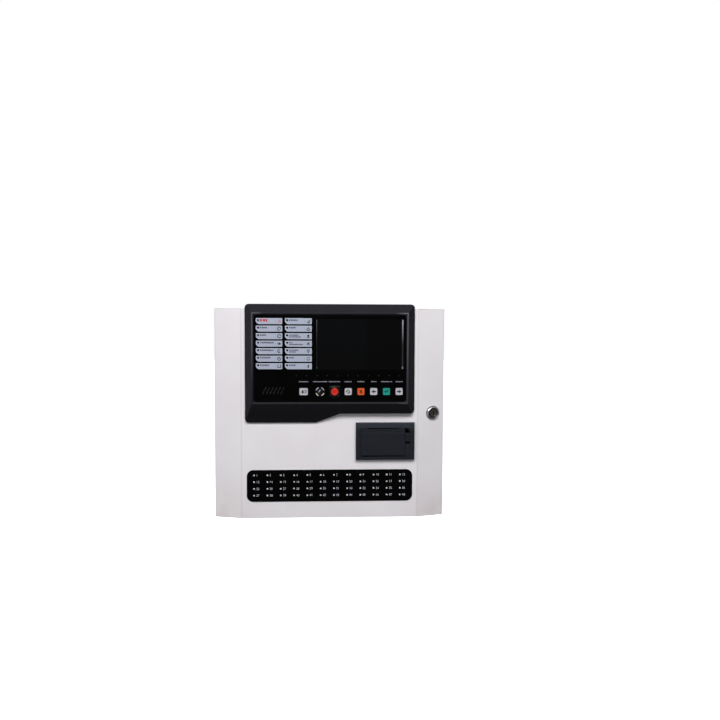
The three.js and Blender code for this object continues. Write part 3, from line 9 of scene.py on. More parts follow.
import bmesh
import bpy
from mathutils import Matrix, Vector


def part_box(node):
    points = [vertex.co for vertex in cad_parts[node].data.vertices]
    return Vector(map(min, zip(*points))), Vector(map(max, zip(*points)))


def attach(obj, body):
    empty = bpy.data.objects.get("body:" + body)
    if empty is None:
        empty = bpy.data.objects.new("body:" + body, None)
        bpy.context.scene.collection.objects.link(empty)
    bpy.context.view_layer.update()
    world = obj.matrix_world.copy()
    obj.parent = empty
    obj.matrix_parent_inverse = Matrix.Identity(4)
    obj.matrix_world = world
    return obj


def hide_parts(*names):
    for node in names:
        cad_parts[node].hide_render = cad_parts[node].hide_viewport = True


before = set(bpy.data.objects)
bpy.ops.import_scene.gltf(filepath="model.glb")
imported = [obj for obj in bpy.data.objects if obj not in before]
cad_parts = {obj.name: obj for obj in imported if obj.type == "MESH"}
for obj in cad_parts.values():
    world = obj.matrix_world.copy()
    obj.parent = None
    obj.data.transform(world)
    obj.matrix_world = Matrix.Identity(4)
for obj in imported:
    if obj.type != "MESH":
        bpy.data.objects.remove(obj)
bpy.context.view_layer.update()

MM = 0.001
OVERLAY_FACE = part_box("fascia_overlay")[0].y / MM
ZONE_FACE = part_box("zone_overlay")[0].y / MM
PRINT = 0.1  # how far printing stands on the surface it is on
FRONT, UP, RIGHT = Vector((0, -1, 0)), Vector((0, 0, 1)), Vector((1, 0, 0))


class Place:
    """The room that a CAD node takes, in millimetres."""

    def __init__(self, node):
        low, high = (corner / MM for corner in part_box(node))
        self.left, self.front, self.bottom = low
        self.right, self.back, self.top = high
        self.x, self.y, self.z = (low + high) / 2


# ---------------------------------------------------------------- finishes


def shade(red, green, blue):
    """A colour from the values a display shows, 0 to 255."""

    def linear(value):
        value /= 255
        return value / 12.92 if value <= 0.04045 else ((value + 0.055) / 1.055) ** 2.4

    return (linear(red), linear(green), linear(blue), 1.0)


class Value:
    """A number that varies over a surface. Arithmetic on it adds Math nodes."""

    def __init__(self, finish, socket):
        self.finish = finish
        self.socket = socket

    def math(self, operation, first, second=0.0, third=0.0):
        node = self.finish.node(
            "ShaderNodeMath", {"operation": operation}, {0: first, 1: second, 2: third}
        )
        return Value(self.finish, node.outputs[0])

    def __add__(self, other):
        return self.math("ADD", self, other)

    def __sub__(self, other):
        return self.math("SUBTRACT", self, other)

    def __rsub__(self, other):
        return self.math("SUBTRACT", other, self)

    def __mul__(self, other):
        return self.math("MULTIPLY", self, other)

    def __truediv__(self, other):
        return self.math("DIVIDE", self, other)

    def __abs__(self):
        return self.math("ABSOLUTE", self)

    __radd__ = __add__
    __rmul__ = __mul__

    def power(self, exponent):
        return self.math("POWER", self, exponent)

    def ripple(self, pitch):
        """A wave between 0 and 1 that repeats with the pitch."""
        return self.math("SINE", self * (2 * math.pi / pitch)) * 0.5 + 0.5

    def ramp(self, low, high):
        """0 at low and 1 at high, smooth in between, whichever of the two is the larger."""
        first, last = (low, high) if low < high else (high, low)
        ends = {3: 0.0, 4: 1.0} if low < high else {3: 1.0, 4: 0.0}
        node = self.finish.node(
            "ShaderNodeMapRange",
            {"interpolation_type": "SMOOTHSTEP"},
            {0: self, 1: first, 2: last, **ends},
        )
        return Value(self.finish, node.outputs[0])

    def longest(self, other):
        return self.math("MAXIMUM", self, other)


class Tree:
    """A node tree, and the one way in which nodes are added to it."""

    def __init__(self, tree):
        self.tree = tree

    def feed(self, socket, value):
        if isinstance(value, Value):
            value = value.socket
        if isinstance(value, bpy.types.NodeSocket):
            self.tree.links.new(value, socket)
        else:
            socket.default_value = value

    def node(self, kind, settings=None, sockets=None):
        made = self.tree.nodes.new(kind)
        for key, value in (settings or {}).items():
            setattr(made, key, value)
        for key, value in (sockets or {}).items():
            self.feed(made.inputs[key], value)
        return made


class Finish(Tree):
    """A material in the making: constants go straight onto its shader's sockets."""

    def __init__(self, name, colour, roughness, **constants):
        self.slot = None
        self.material = bpy.data.materials.new(name)
        self.material.use_nodes = True
        super().__init__(self.material.node_tree)
        self.shader = self.tree.nodes["Principled BSDF"]
        self.set("Base Color", colour)
        self.set("Roughness", roughness)
        for socket, value in constants.items():
            self.set(socket.replace("_", " "), value)
        self.coordinates = self.node("ShaderNodeTexCoord").outputs["Object"]

    def set(self, socket, value):
        self.feed(self.shader.inputs[socket], value)

    def base(self):
        """The colour that the finish has so far."""
        return self.shader.inputs["Base Color"].links[0].from_socket

    def stretched(self, scale=(1, 1, 1), centre=(0, 0, 0), turn=(0, 0, 0)):
        """Object coordinates, moved so that a centre in millimetres is the origin, then scaled."""
        moved = self.node(
            "ShaderNodeVectorMath",
            {"operation": "SUBTRACT"},
            {0: self.coordinates, 1: [c * MM for c in centre]},
        )
        mapping = self.node(
            "ShaderNodeMapping",
            {"vector_type": "POINT"},
            {"Vector": moved.outputs[0], "Rotation": turn, "Scale": scale},
        )
        return mapping.outputs[0]

    def noise(self, size, detail=2.0, coordinates=None, distortion=0.0):
        """Clouds whose patches are about the size, in millimetres."""
        node = self.node(
            "ShaderNodeTexNoise",
            None,
            {
                "Vector": coordinates or self.coordinates,
                "Scale": 1 / (size * MM),
                "Detail": detail,
                "Distortion": distortion,
            },
        )
        return Value(self, node.outputs[0])

    def cells(self, size):
        """Distances in a field of cells about the size, in millimetres."""
        node = self.node(
            "ShaderNodeTexVoronoi",
            {"feature": "F1"},
            {"Vector": self.coordinates, "Scale": 1 / (size * MM)},
        )
        return Value(self, node.outputs["Distance"])

    def along(self, coordinates=None):
        """Millimetres along x, y and z."""
        node = self.node("ShaderNodeSeparateXYZ", None, {0: coordinates or self.coordinates})
        return [Value(self, output) / MM for output in node.outputs]

    def mixed(self, share, first, second):
        node = self.node(
            "ShaderNodeMix", {"data_type": "RGBA"}, {0: share, 6: first, 7: second}
        )
        return node.outputs[2]

    def bump(self, height, depth, strength=1.0):
        """Relief whose whole range is the depth, in millimetres."""
        node = self.node(
            "ShaderNodeBump",
            None,
            {"Height": height, "Distance": depth * MM, "Strength": strength},
        )
        self.set("Normal", node.outputs[0])
        return self


def cabinet_paint():
    """Powder coat: orange peel, specks, painted shade at folds and rims, warm dark lower corners.
    """
    finish = Finish("cabinet_paint", (0.8, 0.8, 0.8, 1), 0.5, Specular_IOR_Level=0.4)
    x, _, z = finish.along()
    cloud = finish.noise(60, 3.0).ramp(0.3, 0.75)
    clean = finish.mixed(cloud, shade(231, 227, 231), shade(235, 232, 236))
    # A warmer, darker tone towards the lower corners.
    low = z.ramp(-110.0, -200.0) * abs(x).ramp(120.0, 225.0) * finish.noise(35, 4.0).ramp(0.2, 0.7)
    warm = finish.mixed(low * 0.6, clean, shade(213, 199, 197))
    specks = finish.cells(9.0).ramp(0.06, 0.02) * 0.22
    # Painted shade: a darker line along the door's folds, found by x, so the back sheet gets it
    # too.
    folds = abs(abs(x) - 164.5).ramp(2.4, 0.6) * 0.22
    # Painted shade: a darker band at the outer rims, found by position, on any painted face there.
    rims = abs(x).ramp(212.6, 214.4).longest(abs(z).ramp(193.8, 195.6)) * 0.3
    specks_and_shade = specks.longest(folds).longest(rims)
    finish.set("Base Color", finish.mixed(specks_and_shade, warm, shade(180, 172, 176)))
    finish.set("Roughness", 0.42 + finish.noise(18, 2.0) * 0.16)
    return finish.bump(finish.noise(1.1, 1.5) + finish.noise(3.2, 1.0), 0.05, 0.35)


def fascia_plastic(bezel):
    """Dark moulded plastic, with a painted highlight along its crest and painted shade low down."""
    finish = moulded_plastic(
        "fascia_plastic", shade(23, 23, 30), shade(28, 28, 36), 0.48, 0.4, 0.03, 0.2
    )
    x, y, z = finish.along()
    # Painted highlight along the crest: mostly on the sides, stronger high up and to the right.
    across = abs(x) - (bezel.right - 14.2)
    upright = abs(z - bezel.top + 100.2) - 83.0
    proud = y.ramp(bezel.front + 3.0, bezel.front + 1.0)
    side = abs(x).ramp(118.0, 140.0)
    fade = z.ramp(40.0, 150.0) * 0.7 + x.ramp(100.0, 140.0) * 0.3
    crest_highlight = abs(across.longest(upright)).ramp(2.2, 0.6) * proud * fade * (side * 0.93 + 0.07)
    # Painted shade: the frame darker towards its bottom.
    shaded = finish.mixed(z.ramp(40.0, 0.0) * 0.75, finish.base(), shade(12, 12, 15))
    finish.set("Base Color", finish.mixed(crest_highlight * 0.9, shaded, shade(100, 100, 106)))
    return finish


def printer_plastic(bezel):
    """The printer's frame: the same plastic, with a painted highlight along its top member."""
    finish = moulded_plastic(
        "printer_frame", shade(25, 28, 36), shade(30, 33, 42), 0.5, 0.5, 0.05, 0.2
    )
    _, _, z = finish.along()
    # Painted highlight: the top member paler.
    top = z.ramp(bezel.top - 16.0, bezel.top - 7.0)
    finish.set("Base Color", finish.mixed(top * 0.7, finish.base(), shade(50, 54, 63)))
    return finish


def moulded_plastic(name, colour, edge, roughness=0.42, grain=0.35, depth=0.03, level=0.35):
    """Moulded plastic with a spark-eroded grain and a faint flow pattern in its gloss."""
    finish = Finish(name, colour, roughness, Specular_IOR_Level=level)
    flow = finish.noise(25, 3.0).ramp(0.3, 0.75)
    finish.set("Base Color", finish.mixed(flow * 0.5, colour, edge))
    finish.set("Roughness", roughness + finish.noise(6, 3.0) * 0.14)
    return finish.bump(finish.noise(grain, 2.0), depth, 0.5)


def steel(name, light, dark, roughness, streaks=(1, 1, 8), scratch=0.25):
    """Plated sheet steel: cloudy plating, rolled streaks and fine scratches."""
    finish = Finish(name, light, roughness, Metallic=1.0)
    rolled = finish.noise(2.2, 3.0, finish.stretched(streaks))
    cloud = finish.noise(22, 4.0, distortion=0.6)
    share = (rolled * 0.5 + cloud * 0.5).ramp(0.35, 0.68)
    finish.set("Base Color", finish.mixed(share, dark, light))
    finish.set("Roughness", roughness + rolled * 0.18)
    lines = finish.noise(0.9, 2.0, finish.stretched((1, 1, 14), turn=(0.2, 0.5, 0.1)))
    return finish.bump(lines, 0.02, scratch)


def perforated_steel(case):
    """Zinc plate with rows of round ventilation holes inside a plain border."""
    finish = steel("perforated_steel", shade(206, 208, 212), shade(168, 170, 172), 0.32)
    x, _, z = finish.along()
    hole = (x.ripple(6.0) + z.ripple(6.0)).ramp(1.42, 1.5)
    across = abs(x - case.x).ramp(42.0, 41.0)
    upright = abs(z - case.z - 18.0).ramp(43.0, 42.0)
    vent = hole * across * upright
    # The holes are painted near-black: painted shade for the dark behind them.
    finish.set("Base Color", finish.mixed(vent, finish.base(), shade(14, 14, 15)))
    finish.set("Metallic", 1 - vent)
    finish.set("Roughness", 0.36 + vent * 0.5)
    return finish.bump(1 - vent, 0.6, 0.7)


def gloss_sheet(name, colour, haze, level=0.5):
    """A hard glossy sheet with a wiped haze in its reflections."""
    finish = Finish(name, colour, 0.1, Specular_IOR_Level=level)
    wiped = finish.noise(30, 4.0, finish.stretched((1, 1, 2.5), turn=(0, 0.5, 0)), 0.8)
    finish.set("Roughness", 0.07 + wiped.ramp(0.45, 0.8) * haze)
    tone = finish.noise(45, 2.0).ramp(0.3, 0.8)
    lighter = [c * 1.6 + 0.0004 for c in colour[:3]] + [1.0]
    finish.set("Base Color", finish.mixed(tone, colour, lighter))
    return finish.bump(finish.noise(40, 1.0), 0.05, 0.2)


def clear_plastic():
    """Clear acrylic: seen through straight on, pale grey at grazing angles as a painted reflection.
    """
    finish = Finish("clear_plastic", shade(150, 158, 162), 0.06, Specular_IOR_Level=0.3)
    rim = finish.node("ShaderNodeLayerWeight", None, {"Blend": 0.35}).outputs["Facing"]
    smear = finish.noise(5, 3.0).ramp(0.5, 0.85)
    # Painted reflection: opacity and pale grey grow where the surface turns away, with faint
    # smears.
    finish.set("Alpha", Value(finish, rim).power(3.0) * 0.2 + 0.004 + smear * 0.006)
    finish.set("Roughness", 0.05 + smear * 0.1)
    return finish


def circuit_board():
    """Green solder mask over fine tracks, with rows of plated holes."""
    finish = Finish("circuit_board", shade(24, 84, 52), 0.35, Specular_IOR_Level=0.5)
    x, _, z = finish.along()
    region = finish.cells(34).ramp(0.45, 0.5)
    across = x.ripple(2.3).ramp(0.72, 0.86)
    upright = z.ripple(2.3).ramp(0.72, 0.86)
    tracks = across * region + upright * (1 - region)
    gate = finish.noise(17, 1.0).ramp(0.42, 0.5)
    mask = finish.mixed(tracks * gate * 0.75, shade(22, 78, 48), shade(52, 124, 74))
    holes = x.ripple(5.08).ramp(0.9, 0.98) * z.ripple(5.08).ramp(0.9, 0.98)
    holes = holes * finish.noise(26, 1.0).ramp(0.52, 0.6)
    finish.set("Base Color", finish.mixed(holes, mask, shade(196, 196, 186)))
    finish.set("Metallic", holes * 0.9)
    finish.set("Roughness", 0.3 + finish.noise(12, 2.0) * 0.16)
    return finish.bump(tracks * gate, 0.03, 0.6)


def rubber(name, colour):
    finish = Finish(name, colour, 0.8, Specular_IOR_Level=0.3)
    dust = finish.noise(12, 5.0).ramp(0.5, 0.8)
    finish.set("Base Color", finish.mixed(dust * 0.35, colour, shade(74, 74, 76)))
    finish.set("Roughness", 0.72 + dust * 0.16)
    return finish.bump(finish.noise(0.7, 4.0), 0.06, 0.6)


def seal_foam():
    """Closed-cell foam: pitted and matt, with painted shade in its pits."""
    finish = Finish("seal_foam", shade(30, 31, 33), 0.92, Specular_IOR_Level=0.2)
    pits = finish.cells(1.1)
    # Painted shade: darker towards the pit centres.
    pitted = finish.mixed(pits.ramp(0.1, 0.6), shade(16, 16, 17), shade(46, 46, 48))
    finish.set("Base Color", pitted)
    return finish.bump(pits, 0.25, 0.7)


def ticket_paper(roll):
    """Thermal paper: the ends of the roll show its turns."""
    finish = Finish("ticket_paper", shade(240, 238, 230), 0.85, Specular_IOR_Level=0.25)
    _, y, z = finish.along(finish.stretched(centre=(0, roll.y, roll.z)))
    turns = (y.power(2.0) + z.power(2.0)).power(0.5).ripple(0.45)
    fibre = finish.noise(1.2, 5.0)
    finish.set(
        "Base Color",
        finish.mixed(turns * 0.35 + fibre * 0.25, shade(244, 242, 236), shade(214, 208, 196)),
    )
    return finish.bump(turns + fibre * 0.4, 0.05, 0.35)


def printed(name, colour, deeper, roughness=0.45):
    """Screen-printed ink with a slight mottle."""
    finish = Finish(name, colour, roughness, Specular_IOR_Level=0.4)
    finish.set("Base Color", finish.mixed(finish.noise(1.6, 3.0).ramp(0.35, 0.75), colour, deeper))
    return finish.bump(finish.noise(0.5, 1.0), 0.01, 0.4)


def screen_glass():
    """A dark panel under clear glass, a touch lighter towards its left half."""
    finish = Finish("screen_glass", shade(8, 8, 9), 0.09, Specular_IOR_Level=0.14)
    x, _, z = finish.along()
    soft = finish.noise(50, 2.0) * 14.0
    left = (x + soft).ramp(78.0, 70.0)
    low = (z + soft).ramp(100.0, 150.0) * 0.5 + 0.5
    finish.set("Base Color", finish.mixed(left * low, shade(9, 9, 10), shade(11, 12, 13)))
    return finish.bump(finish.noise(0.35, 1.0), 0.004, 0.3)


def glass_edge_reflection(screen):
    """The rolled edge of the glass, with a painted reflection bright at the top, fading below."""
    finish = Finish("glass_edge_reflection", shade(110, 110, 118), 0.18, Specular_IOR_Level=0.5)
    x, _, z = finish.along()
    height = screen.top - screen.bottom
    fade = ((z - screen.bottom) / height).ramp(0.44, 1.08)
    foot = abs(z - (screen.bottom + 4.0)).ramp(2.4, 1.2)
    right = x.ramp(40.0, 60.0)
    reflection_share = (fade * 0.86 + 0.05).longest(foot * 0.55) * (right * 0.78 + 0.22)
    finish.set("Base Color", finish.mixed(reflection_share, shade(16, 16, 18), shade(160, 160, 168)))
    return finish


PAINT = cabinet_paint()
FASCIA = fascia_plastic(Place("fascia_bezel"))
PRINTER_FRAME = printer_plastic(Place("printer_bezel"))
PRINTER_PLASTIC = moulded_plastic(
    "printer_plastic", shade(25, 28, 36), shade(30, 33, 42), 0.5, 0.5, 0.05, 0.2
)
DARK_PLASTIC = moulded_plastic("dark_plastic", shade(20, 20, 22), shade(27, 27, 30), 0.45)
HOUSING = moulded_plastic(
    "housing_black", shade(6, 6, 7), shade(9, 9, 10), 0.42, 0.35, 0.02, 0.15
)
ZINC = steel("zinc_plate", shade(214, 216, 220), shade(182, 184, 187), 0.42)
CHROME = steel("chrome_plate", shade(226, 226, 230), shade(196, 196, 202), 0.2, (1, 1, 2), 0.08)
DARK_METAL = steel("darkened_steel", shade(92, 90, 88), shade(52, 51, 52), 0.3, (1, 1, 2), 0.2)
PLUG_METAL = steel("plug_metal", shade(128, 120, 112), shade(76, 71, 67), 0.45, (1, 1, 2), 0.3)
BRASS = steel("brass", shade(214, 178, 104), shade(182, 142, 74), 0.28)
GLOSS = gloss_sheet("gloss_black", shade(3, 3, 3), 0.12, 0.14)
CLEAR = clear_plastic()
BOARD = circuit_board()
KEY_GREY = moulded_plastic("key_grey", shade(184, 184, 191), shade(192, 192, 198), 0.4, 0.3, 0.02)
KEY_ORANGE = moulded_plastic("key_orange", shade(208, 82, 18), shade(216, 94, 30), 0.4, 0.3, 0.02)
KEY_TEAL = moulded_plastic("key_teal", shade(14, 142, 128), shade(26, 150, 137), 0.4, 0.3, 0.02)
EVAC_RED = moulded_plastic("evac_red", shade(212, 40, 22), shade(218, 52, 32), 0.3, 0.3, 0.01)
RUBBER = rubber("black_rubber", shade(28, 28, 30))
FOAM = seal_foam()
TERMINAL = moulded_plastic("terminal_green", shade(44, 132, 74), shade(56, 146, 86), 0.4)
BATTERY = moulded_plastic("battery_case", shade(62, 65, 72), shade(74, 77, 84), 0.5, 0.8, 0.08)
FUSE = moulded_plastic("fuse_black", shade(24, 24, 26), shade(32, 32, 34), 0.35)
PAPER = ticket_paper(Place("paper_roll"))
DISPLAY = steel("display_frame", shade(188, 190, 192), shade(150, 152, 156), 0.3, (1, 1, 5))
LABEL = printed("label_print", shade(162, 169, 188), shade(168, 175, 193))
LABEL_RIM = printed("label_rim", shade(184, 190, 206), shade(190, 196, 210))
DARK_INK = printed("dark_ink", shade(22, 24, 30), shade(34, 36, 44))
RED_INK = printed("red_ink", shade(190, 18, 26), shade(200, 30, 34))
PALE_INK_AND_GLINT = printed("pale_ink_and_glint", shade(196, 198, 208), shade(180, 182, 194))
LEGEND_INK = printed("legend_ink", shade(140, 142, 153), shade(126, 128, 139))
FAINT_INK_AND_HIGHLIGHT = printed("faint_ink_and_highlight", shade(58, 59, 64), shade(50, 51, 56))
KEY_INK = printed("key_ink", shade(30, 30, 36), shade(40, 40, 46))
ORANGE_INK = printed("orange_key_ink", shade(112, 34, 16), shade(124, 40, 20))
TEAL_INK = printed("teal_key_ink", shade(8, 46, 44), shade(12, 54, 50))
LENS = moulded_plastic("indicator_lens", shade(206, 207, 212), shade(226, 226, 232), 0.2, 0.3, 0.01)
SCREEN = screen_glass()
GLASS_EDGE_REFLECTION = glass_edge_reflection(Place("display_module"))
CHIP = moulded_plastic("chip_black", shade(28, 28, 30), shade(36, 36, 38), 0.5)
RELAY = moulded_plastic("relay_blue", shade(36, 84, 142), shade(44, 94, 152), 0.35)
CAPACITOR = moulded_plastic("capacitor_sleeve", shade(34, 38, 66), shade(42, 46, 78), 0.3)
CREAM_AND_GLINT = moulded_plastic("connector_cream_and_glint", shade(222, 216, 196), shade(230, 225, 208), 0.4)
TAG_RED = moulded_plastic("terminal_red", shade(190, 34, 30), shade(202, 48, 40), 0.4)
# Near-black painted shade for screw recesses, slots, socket mouths and wire openings; also the
# battery lid seam.
HOLE_SHADE_AND_SEAM = rubber("hole_shade_and_seam", (0.004, 0.004, 0.004, 1))
PERFORATED = perforated_steel(Place("power_supply_case"))

SLOTS = {
    "cabinet_paint": [PAINT],
    "zinc_steel": [ZINC, PERFORATED],
    "chrome_steel": [CHROME, DARK_METAL, PLUG_METAL],
    "brass": [BRASS],
    "fascia_plastic": [FASCIA, PRINTER_FRAME, PRINTER_PLASTIC, DARK_PLASTIC, HOUSING],
    "gloss_black": [GLOSS],
    "clear_plastic": [CLEAR],
    "board_green": [BOARD],
    "key_grey": [KEY_GREY],
    "key_orange": [KEY_ORANGE],
    "key_teal": [KEY_TEAL],
    "evac_red": [EVAC_RED, TAG_RED],
    "black_rubber": [RUBBER, FOAM],
    "terminal_green": [TERMINAL, RELAY],
    "battery_grey": [BATTERY, CAPACITOR],
    "fuse_black": [FUSE, CHIP, HOLE_SHADE_AND_SEAM],
    "paper": [PAPER],
    "display_grey": [DISPLAY],
}
for slot_name, its_finishes in SLOTS.items():
    for its_finish in its_finishes:
        its_finish.slot = slot_name


# ---------------------------------------------------------------- forms


def block(low, high, radius=0.0, segments=2):
    """A block between two corners with rounded edges."""
    form = bmesh.new()
    bmesh.ops.create_cube(form, size=1)
    low, high = Vector(low), Vector(high)
    bmesh.ops.scale(form, vec=high - low, verts=form.verts)
    bmesh.ops.translate(form, vec=(low + high) / 2, verts=form.verts)
    return rounded(form, form.edges, radius, segments) if radius else form


def rounded(form, geometry, radius, segments=2, affect="EDGES", clamp=True):
    bmesh.ops.bevel(
        form,
        geom=list(geometry),
        offset=radius,
        offset_type="OFFSET",
        segments=segments,
        profile=0.5,
        affect=affect,
        clamp_overlap=clamp,
        material=-1,
    )
    return form


def block_about(x, z, across, up, front, back, radius=0.0, segments=2):
    """A block about x and z, its half sizes given, between two depths."""
    return block((x - across, front, z - up), (x + across, back, z + up), radius, segments)


def slab(outline, front, back, radius=0.0, crown=0.0):
    """An outline of x and z between two depths, its corners and front edge rounded."""
    form = bmesh.new()
    corners = [form.verts.new((x, back, z)) for x, z in outline]
    form.faces.new(corners)
    if radius:
        rounded(form, corners, radius, 5, "VERTICES")
    raised = bmesh.ops.extrude_face_region(form, geom=form.faces[:])["geom"]
    moved = [part for part in raised if isinstance(part, bmesh.types.BMVert)]
    bmesh.ops.translate(form, vec=(0, front - back, 0), verts=moved)
    bmesh.ops.recalc_face_normals(form, faces=form.faces)
    if crown:
        rim = [edge for edge in form.edges if all(vert in moved for vert in edge.verts)]
        rounded(form, rim, crown, 2)
    return form


def rectangle(left, right, bottom, top):
    return [(left, bottom), (right, bottom), (right, top), (left, top)]


def spun(form, geometry, axis, angle, steps, merge):
    bmesh.ops.spin(
        form,
        geom=geometry,
        cent=(0, 0, 0),
        axis=axis,
        angle=angle,
        steps=steps,
        use_merge=merge,
        use_normal_flip=False,
        use_duplicate=False,
    )


def turned(profile, centre=(0, 0, 0), axis=FRONT, steps=48):
    """A profile of radius and distance along the axis, turned about it. The first end faces out."""
    form = bmesh.new()
    verts = [form.verts.new((radius, 0, along)) for radius, along in profile]
    edges = [form.edges.new(pair) for pair in zip(verts, verts[1:])]
    spun(form, verts + edges, (0, 0, 1), 2 * math.pi, steps, True)
    bmesh.ops.remove_doubles(form, verts=form.verts, dist=1e-5)
    bmesh.ops.recalc_face_normals(form, faces=form.faces)
    turn = axis.to_track_quat("Z", "Y").to_matrix().to_4x4()
    bmesh.ops.transform(form, matrix=Matrix.Translation(centre) @ turn, verts=form.verts)
    return form


def rod(radius, base, tip, centre=(0, 0, 0), axis=FRONT, steps=32, crown=0.2):
    """A round piece between two distances along its axis, its outer edge rounded."""
    crown = min(crown, radius * 0.45, (tip - base) * 0.45)
    profile = [(0, base), (radius, base), (radius, tip - crown)]
    profile += [(radius - crown * 0.3, tip - crown * 0.3), (radius - crown, tip), (0, tip)]
    return turned(profile, centre, axis, steps)


def ring(outer, inner, base, tip, centre=(0, 0, 0), axis=FRONT, steps=48, crown=0.2):
    profile = [(inner, base), (outer, base), (outer, tip - crown), (outer - crown, tip)]
    profile += [(inner + crown, tip), (inner, tip - crown), (inner, base)]
    return turned(profile, centre, axis, steps)


def arc(x, z, radius, width, start, sweep, front, back, steps=12):
    """A curved bar on the face: start and sweep in degrees, from the right and anticlockwise."""
    form = bmesh.new()
    inner, outer = radius - width / 2, radius + width / 2
    corners = [(inner, front), (outer, front), (outer, back), (inner, back)]
    end = form.faces.new([form.verts.new((r, y, 0)) for r, y in corners])
    spun(form, [end, *end.edges, *end.verts], (0, -1, 0), math.radians(sweep), steps, False)
    bmesh.ops.recalc_face_normals(form, faces=form.faces)
    place = Matrix.Translation((x, 0, z)) @ Matrix.Rotation(-math.radians(start), 4, "Y")
    bmesh.ops.transform(form, matrix=place, verts=form.verts)
    return form


def numeral(text, x, z, height, face):
    """A number, its left edge and middle height given, standing on a face."""
    curve = bpy.data.curves.new("numeral", "FONT")
    curve.body = text
    curve.size = height / 0.7
    curve.align_y = "CENTER"
    curve.extrude = PRINT / 2
    curve.resolution_u = 3
    writer = bpy.data.objects.new("numeral", curve)
    mesh = bpy.data.meshes.new_from_object(writer)
    form = bmesh.new()
    form.from_mesh(mesh)
    bpy.data.objects.remove(writer)
    bpy.data.curves.remove(curve)
    bpy.data.meshes.remove(mesh)
    upright = Matrix.Rotation(math.radians(90), 4, "X")
    place = Matrix.Translation((x, face - PRINT / 2, z))
    bmesh.ops.transform(form, matrix=place @ upright, verts=form.verts)
    return form


def turning(form, low, high=180.0):
    """The edges whose faces turn between two angles, in degrees."""
    return [
        edge
        for edge in form.edges
        if edge.is_manifold and low < math.degrees(edge.calc_face_angle()) <= high
    ]


def finished_node(node, radius, segments=2, folds=0.0, dish=None):
    """A CAD node's copy in millimetres, with its sharp edges rounded.

    Long gentle folds get a radius of their own, and a dish is a margin and a depth on its front.
    """
    form = bmesh.new()
    form.from_mesh(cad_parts[node].data)
    bmesh.ops.scale(form, vec=(1 / MM,) * 3, verts=form.verts)
    bmesh.ops.remove_doubles(form, verts=form.verts, dist=1e-3)
    bmesh.ops.dissolve_limit(
        form,
        angle_limit=math.radians(0.5),
        use_dissolve_boundaries=False,
        verts=form.verts,
        edges=form.edges,
    )
    if dish:
        margin, depth = dish

        def order(face):
            return round(face.calc_center_median().y, 3), -face.calc_area()

        face = min(form.faces, key=order)
        bmesh.ops.inset_individual(form, faces=[face], thickness=margin, depth=-depth)
    if folds:
        long_folds = [edge for edge in turning(form, 8, 25) if edge.calc_length() > 100]
        rounded(form, long_folds, folds, 4)
    return rounded(form, turning(form, 25), radius, segments, clamp=False)


def piece(name, forms, body, finish, slot=None, stands_for=(), smooth=35):
    """Forms joined as one piece, in metres, riding on a body."""
    slot = slot or finish.slot
    mesh = bpy.data.meshes.new(name)
    whole = bmesh.new()
    for form in forms if isinstance(forms, list) else [forms]:
        part = bpy.data.meshes.new("part")
        form.to_mesh(part)
        form.free()
        whole.from_mesh(part)
        bpy.data.meshes.remove(part)
    bmesh.ops.scale(whole, vec=(MM,) * 3, verts=whole.verts)
    whole.to_mesh(mesh)
    whole.free()
    mesh.shade_smooth()
    mesh.set_sharp_from_angle(angle=math.radians(smooth))
    mesh.materials.append(finish.material)
    made = bpy.data.objects.new(name, mesh)
    bpy.context.scene.collection.objects.link(made)
    weighted = made.modifiers.new("weighted", "WEIGHTED_NORMAL")
    weighted.keep_sharp = True
    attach(made, body)
    if stands_for:
        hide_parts(*stands_for)
    return made


def refine(node, body, finish, radius, **options):
    """Puts a node's finished copy in its place."""
    form = finished_node(node, radius, **options)
    return piece(node + "_finished", form, body, finish, stands_for=[node])


def paint_node(node, finish):
    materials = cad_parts[node].data.materials
    materials.clear()
    materials.append(finish.material)


# ---------------------------------------------------------------- door and back box


def make_cabinet():
    refine("door_panel", "door", PAINT, 0.35, folds=3.0)
    for wall in ("box_wall_left", "box_wall_right", "box_wall_top", "box_wall_bottom"):
        refine(wall, "box", PAINT, 0.3)
    refine("back_sheet", "box", PAINT, 0.25)
    paint_node("door_seal", FOAM)
    for place in ("left", "centre", "right"):
        node = f"cable_grommet_{place}"
        box = Place(node)
        outer, bore = 13.0, 7.5
        middle = (box.x, box.y, box.bottom)
        height = box.top - box.bottom
        profile = [(bore, 0.0), (outer - 0.6, 0.0), (outer, 0.6), (outer, 1.5), (9.8, 1.6)]
        profile += [(9.8, height - 1.6), (outer, height - 1.5), (outer, height - 0.6)]
        profile += [(outer - 0.6, height), (bore + 0.5, height), (bore, height - 0.5), (bore, 0.0)]
        web = rod(bore + 0.05, 2.0, 2.5, middle, UP, 32, 0.05)
        piece(
            f"grommet_{place}",
            [turned(profile, middle, UP), web],
            "box",
            RUBBER,
            stands_for=[node],
        )


# ---------------------------------------------------------------- printing

STROKES = (0.62, 0.8, 0.5, 0.74, 0.58, 0.86, 0.66)  # widths of greeked letters, over their height
WORD = 7  # letters before a wider gap


def greeked(left, width, z, height, face):
    """A line of lettering reduced to plain blocks, a little uneven in width and height."""
    forms = []
    x, index = left, 0
    while x < left + width - height * 0.3:
        letter = min(STROKES[index % len(STROKES)] * height, left + width - x)
        top = z + height * (0.5 if index % 3 == 0 else 0.4)
        low = z - height * (0.5 if index % 5 == 2 else 0.42)
        forms.append(slab(rectangle(x, x + letter, low, top), face - PRINT, face))
        x += letter + height * (0.24 if index % WORD else 0.4)
        index += 1
    return forms


def dot(x, z, radius, face, rise=PRINT, steps=20):
    return rod(radius, 0, rise, (x, face, z), FRONT, steps, rise * 0.5)


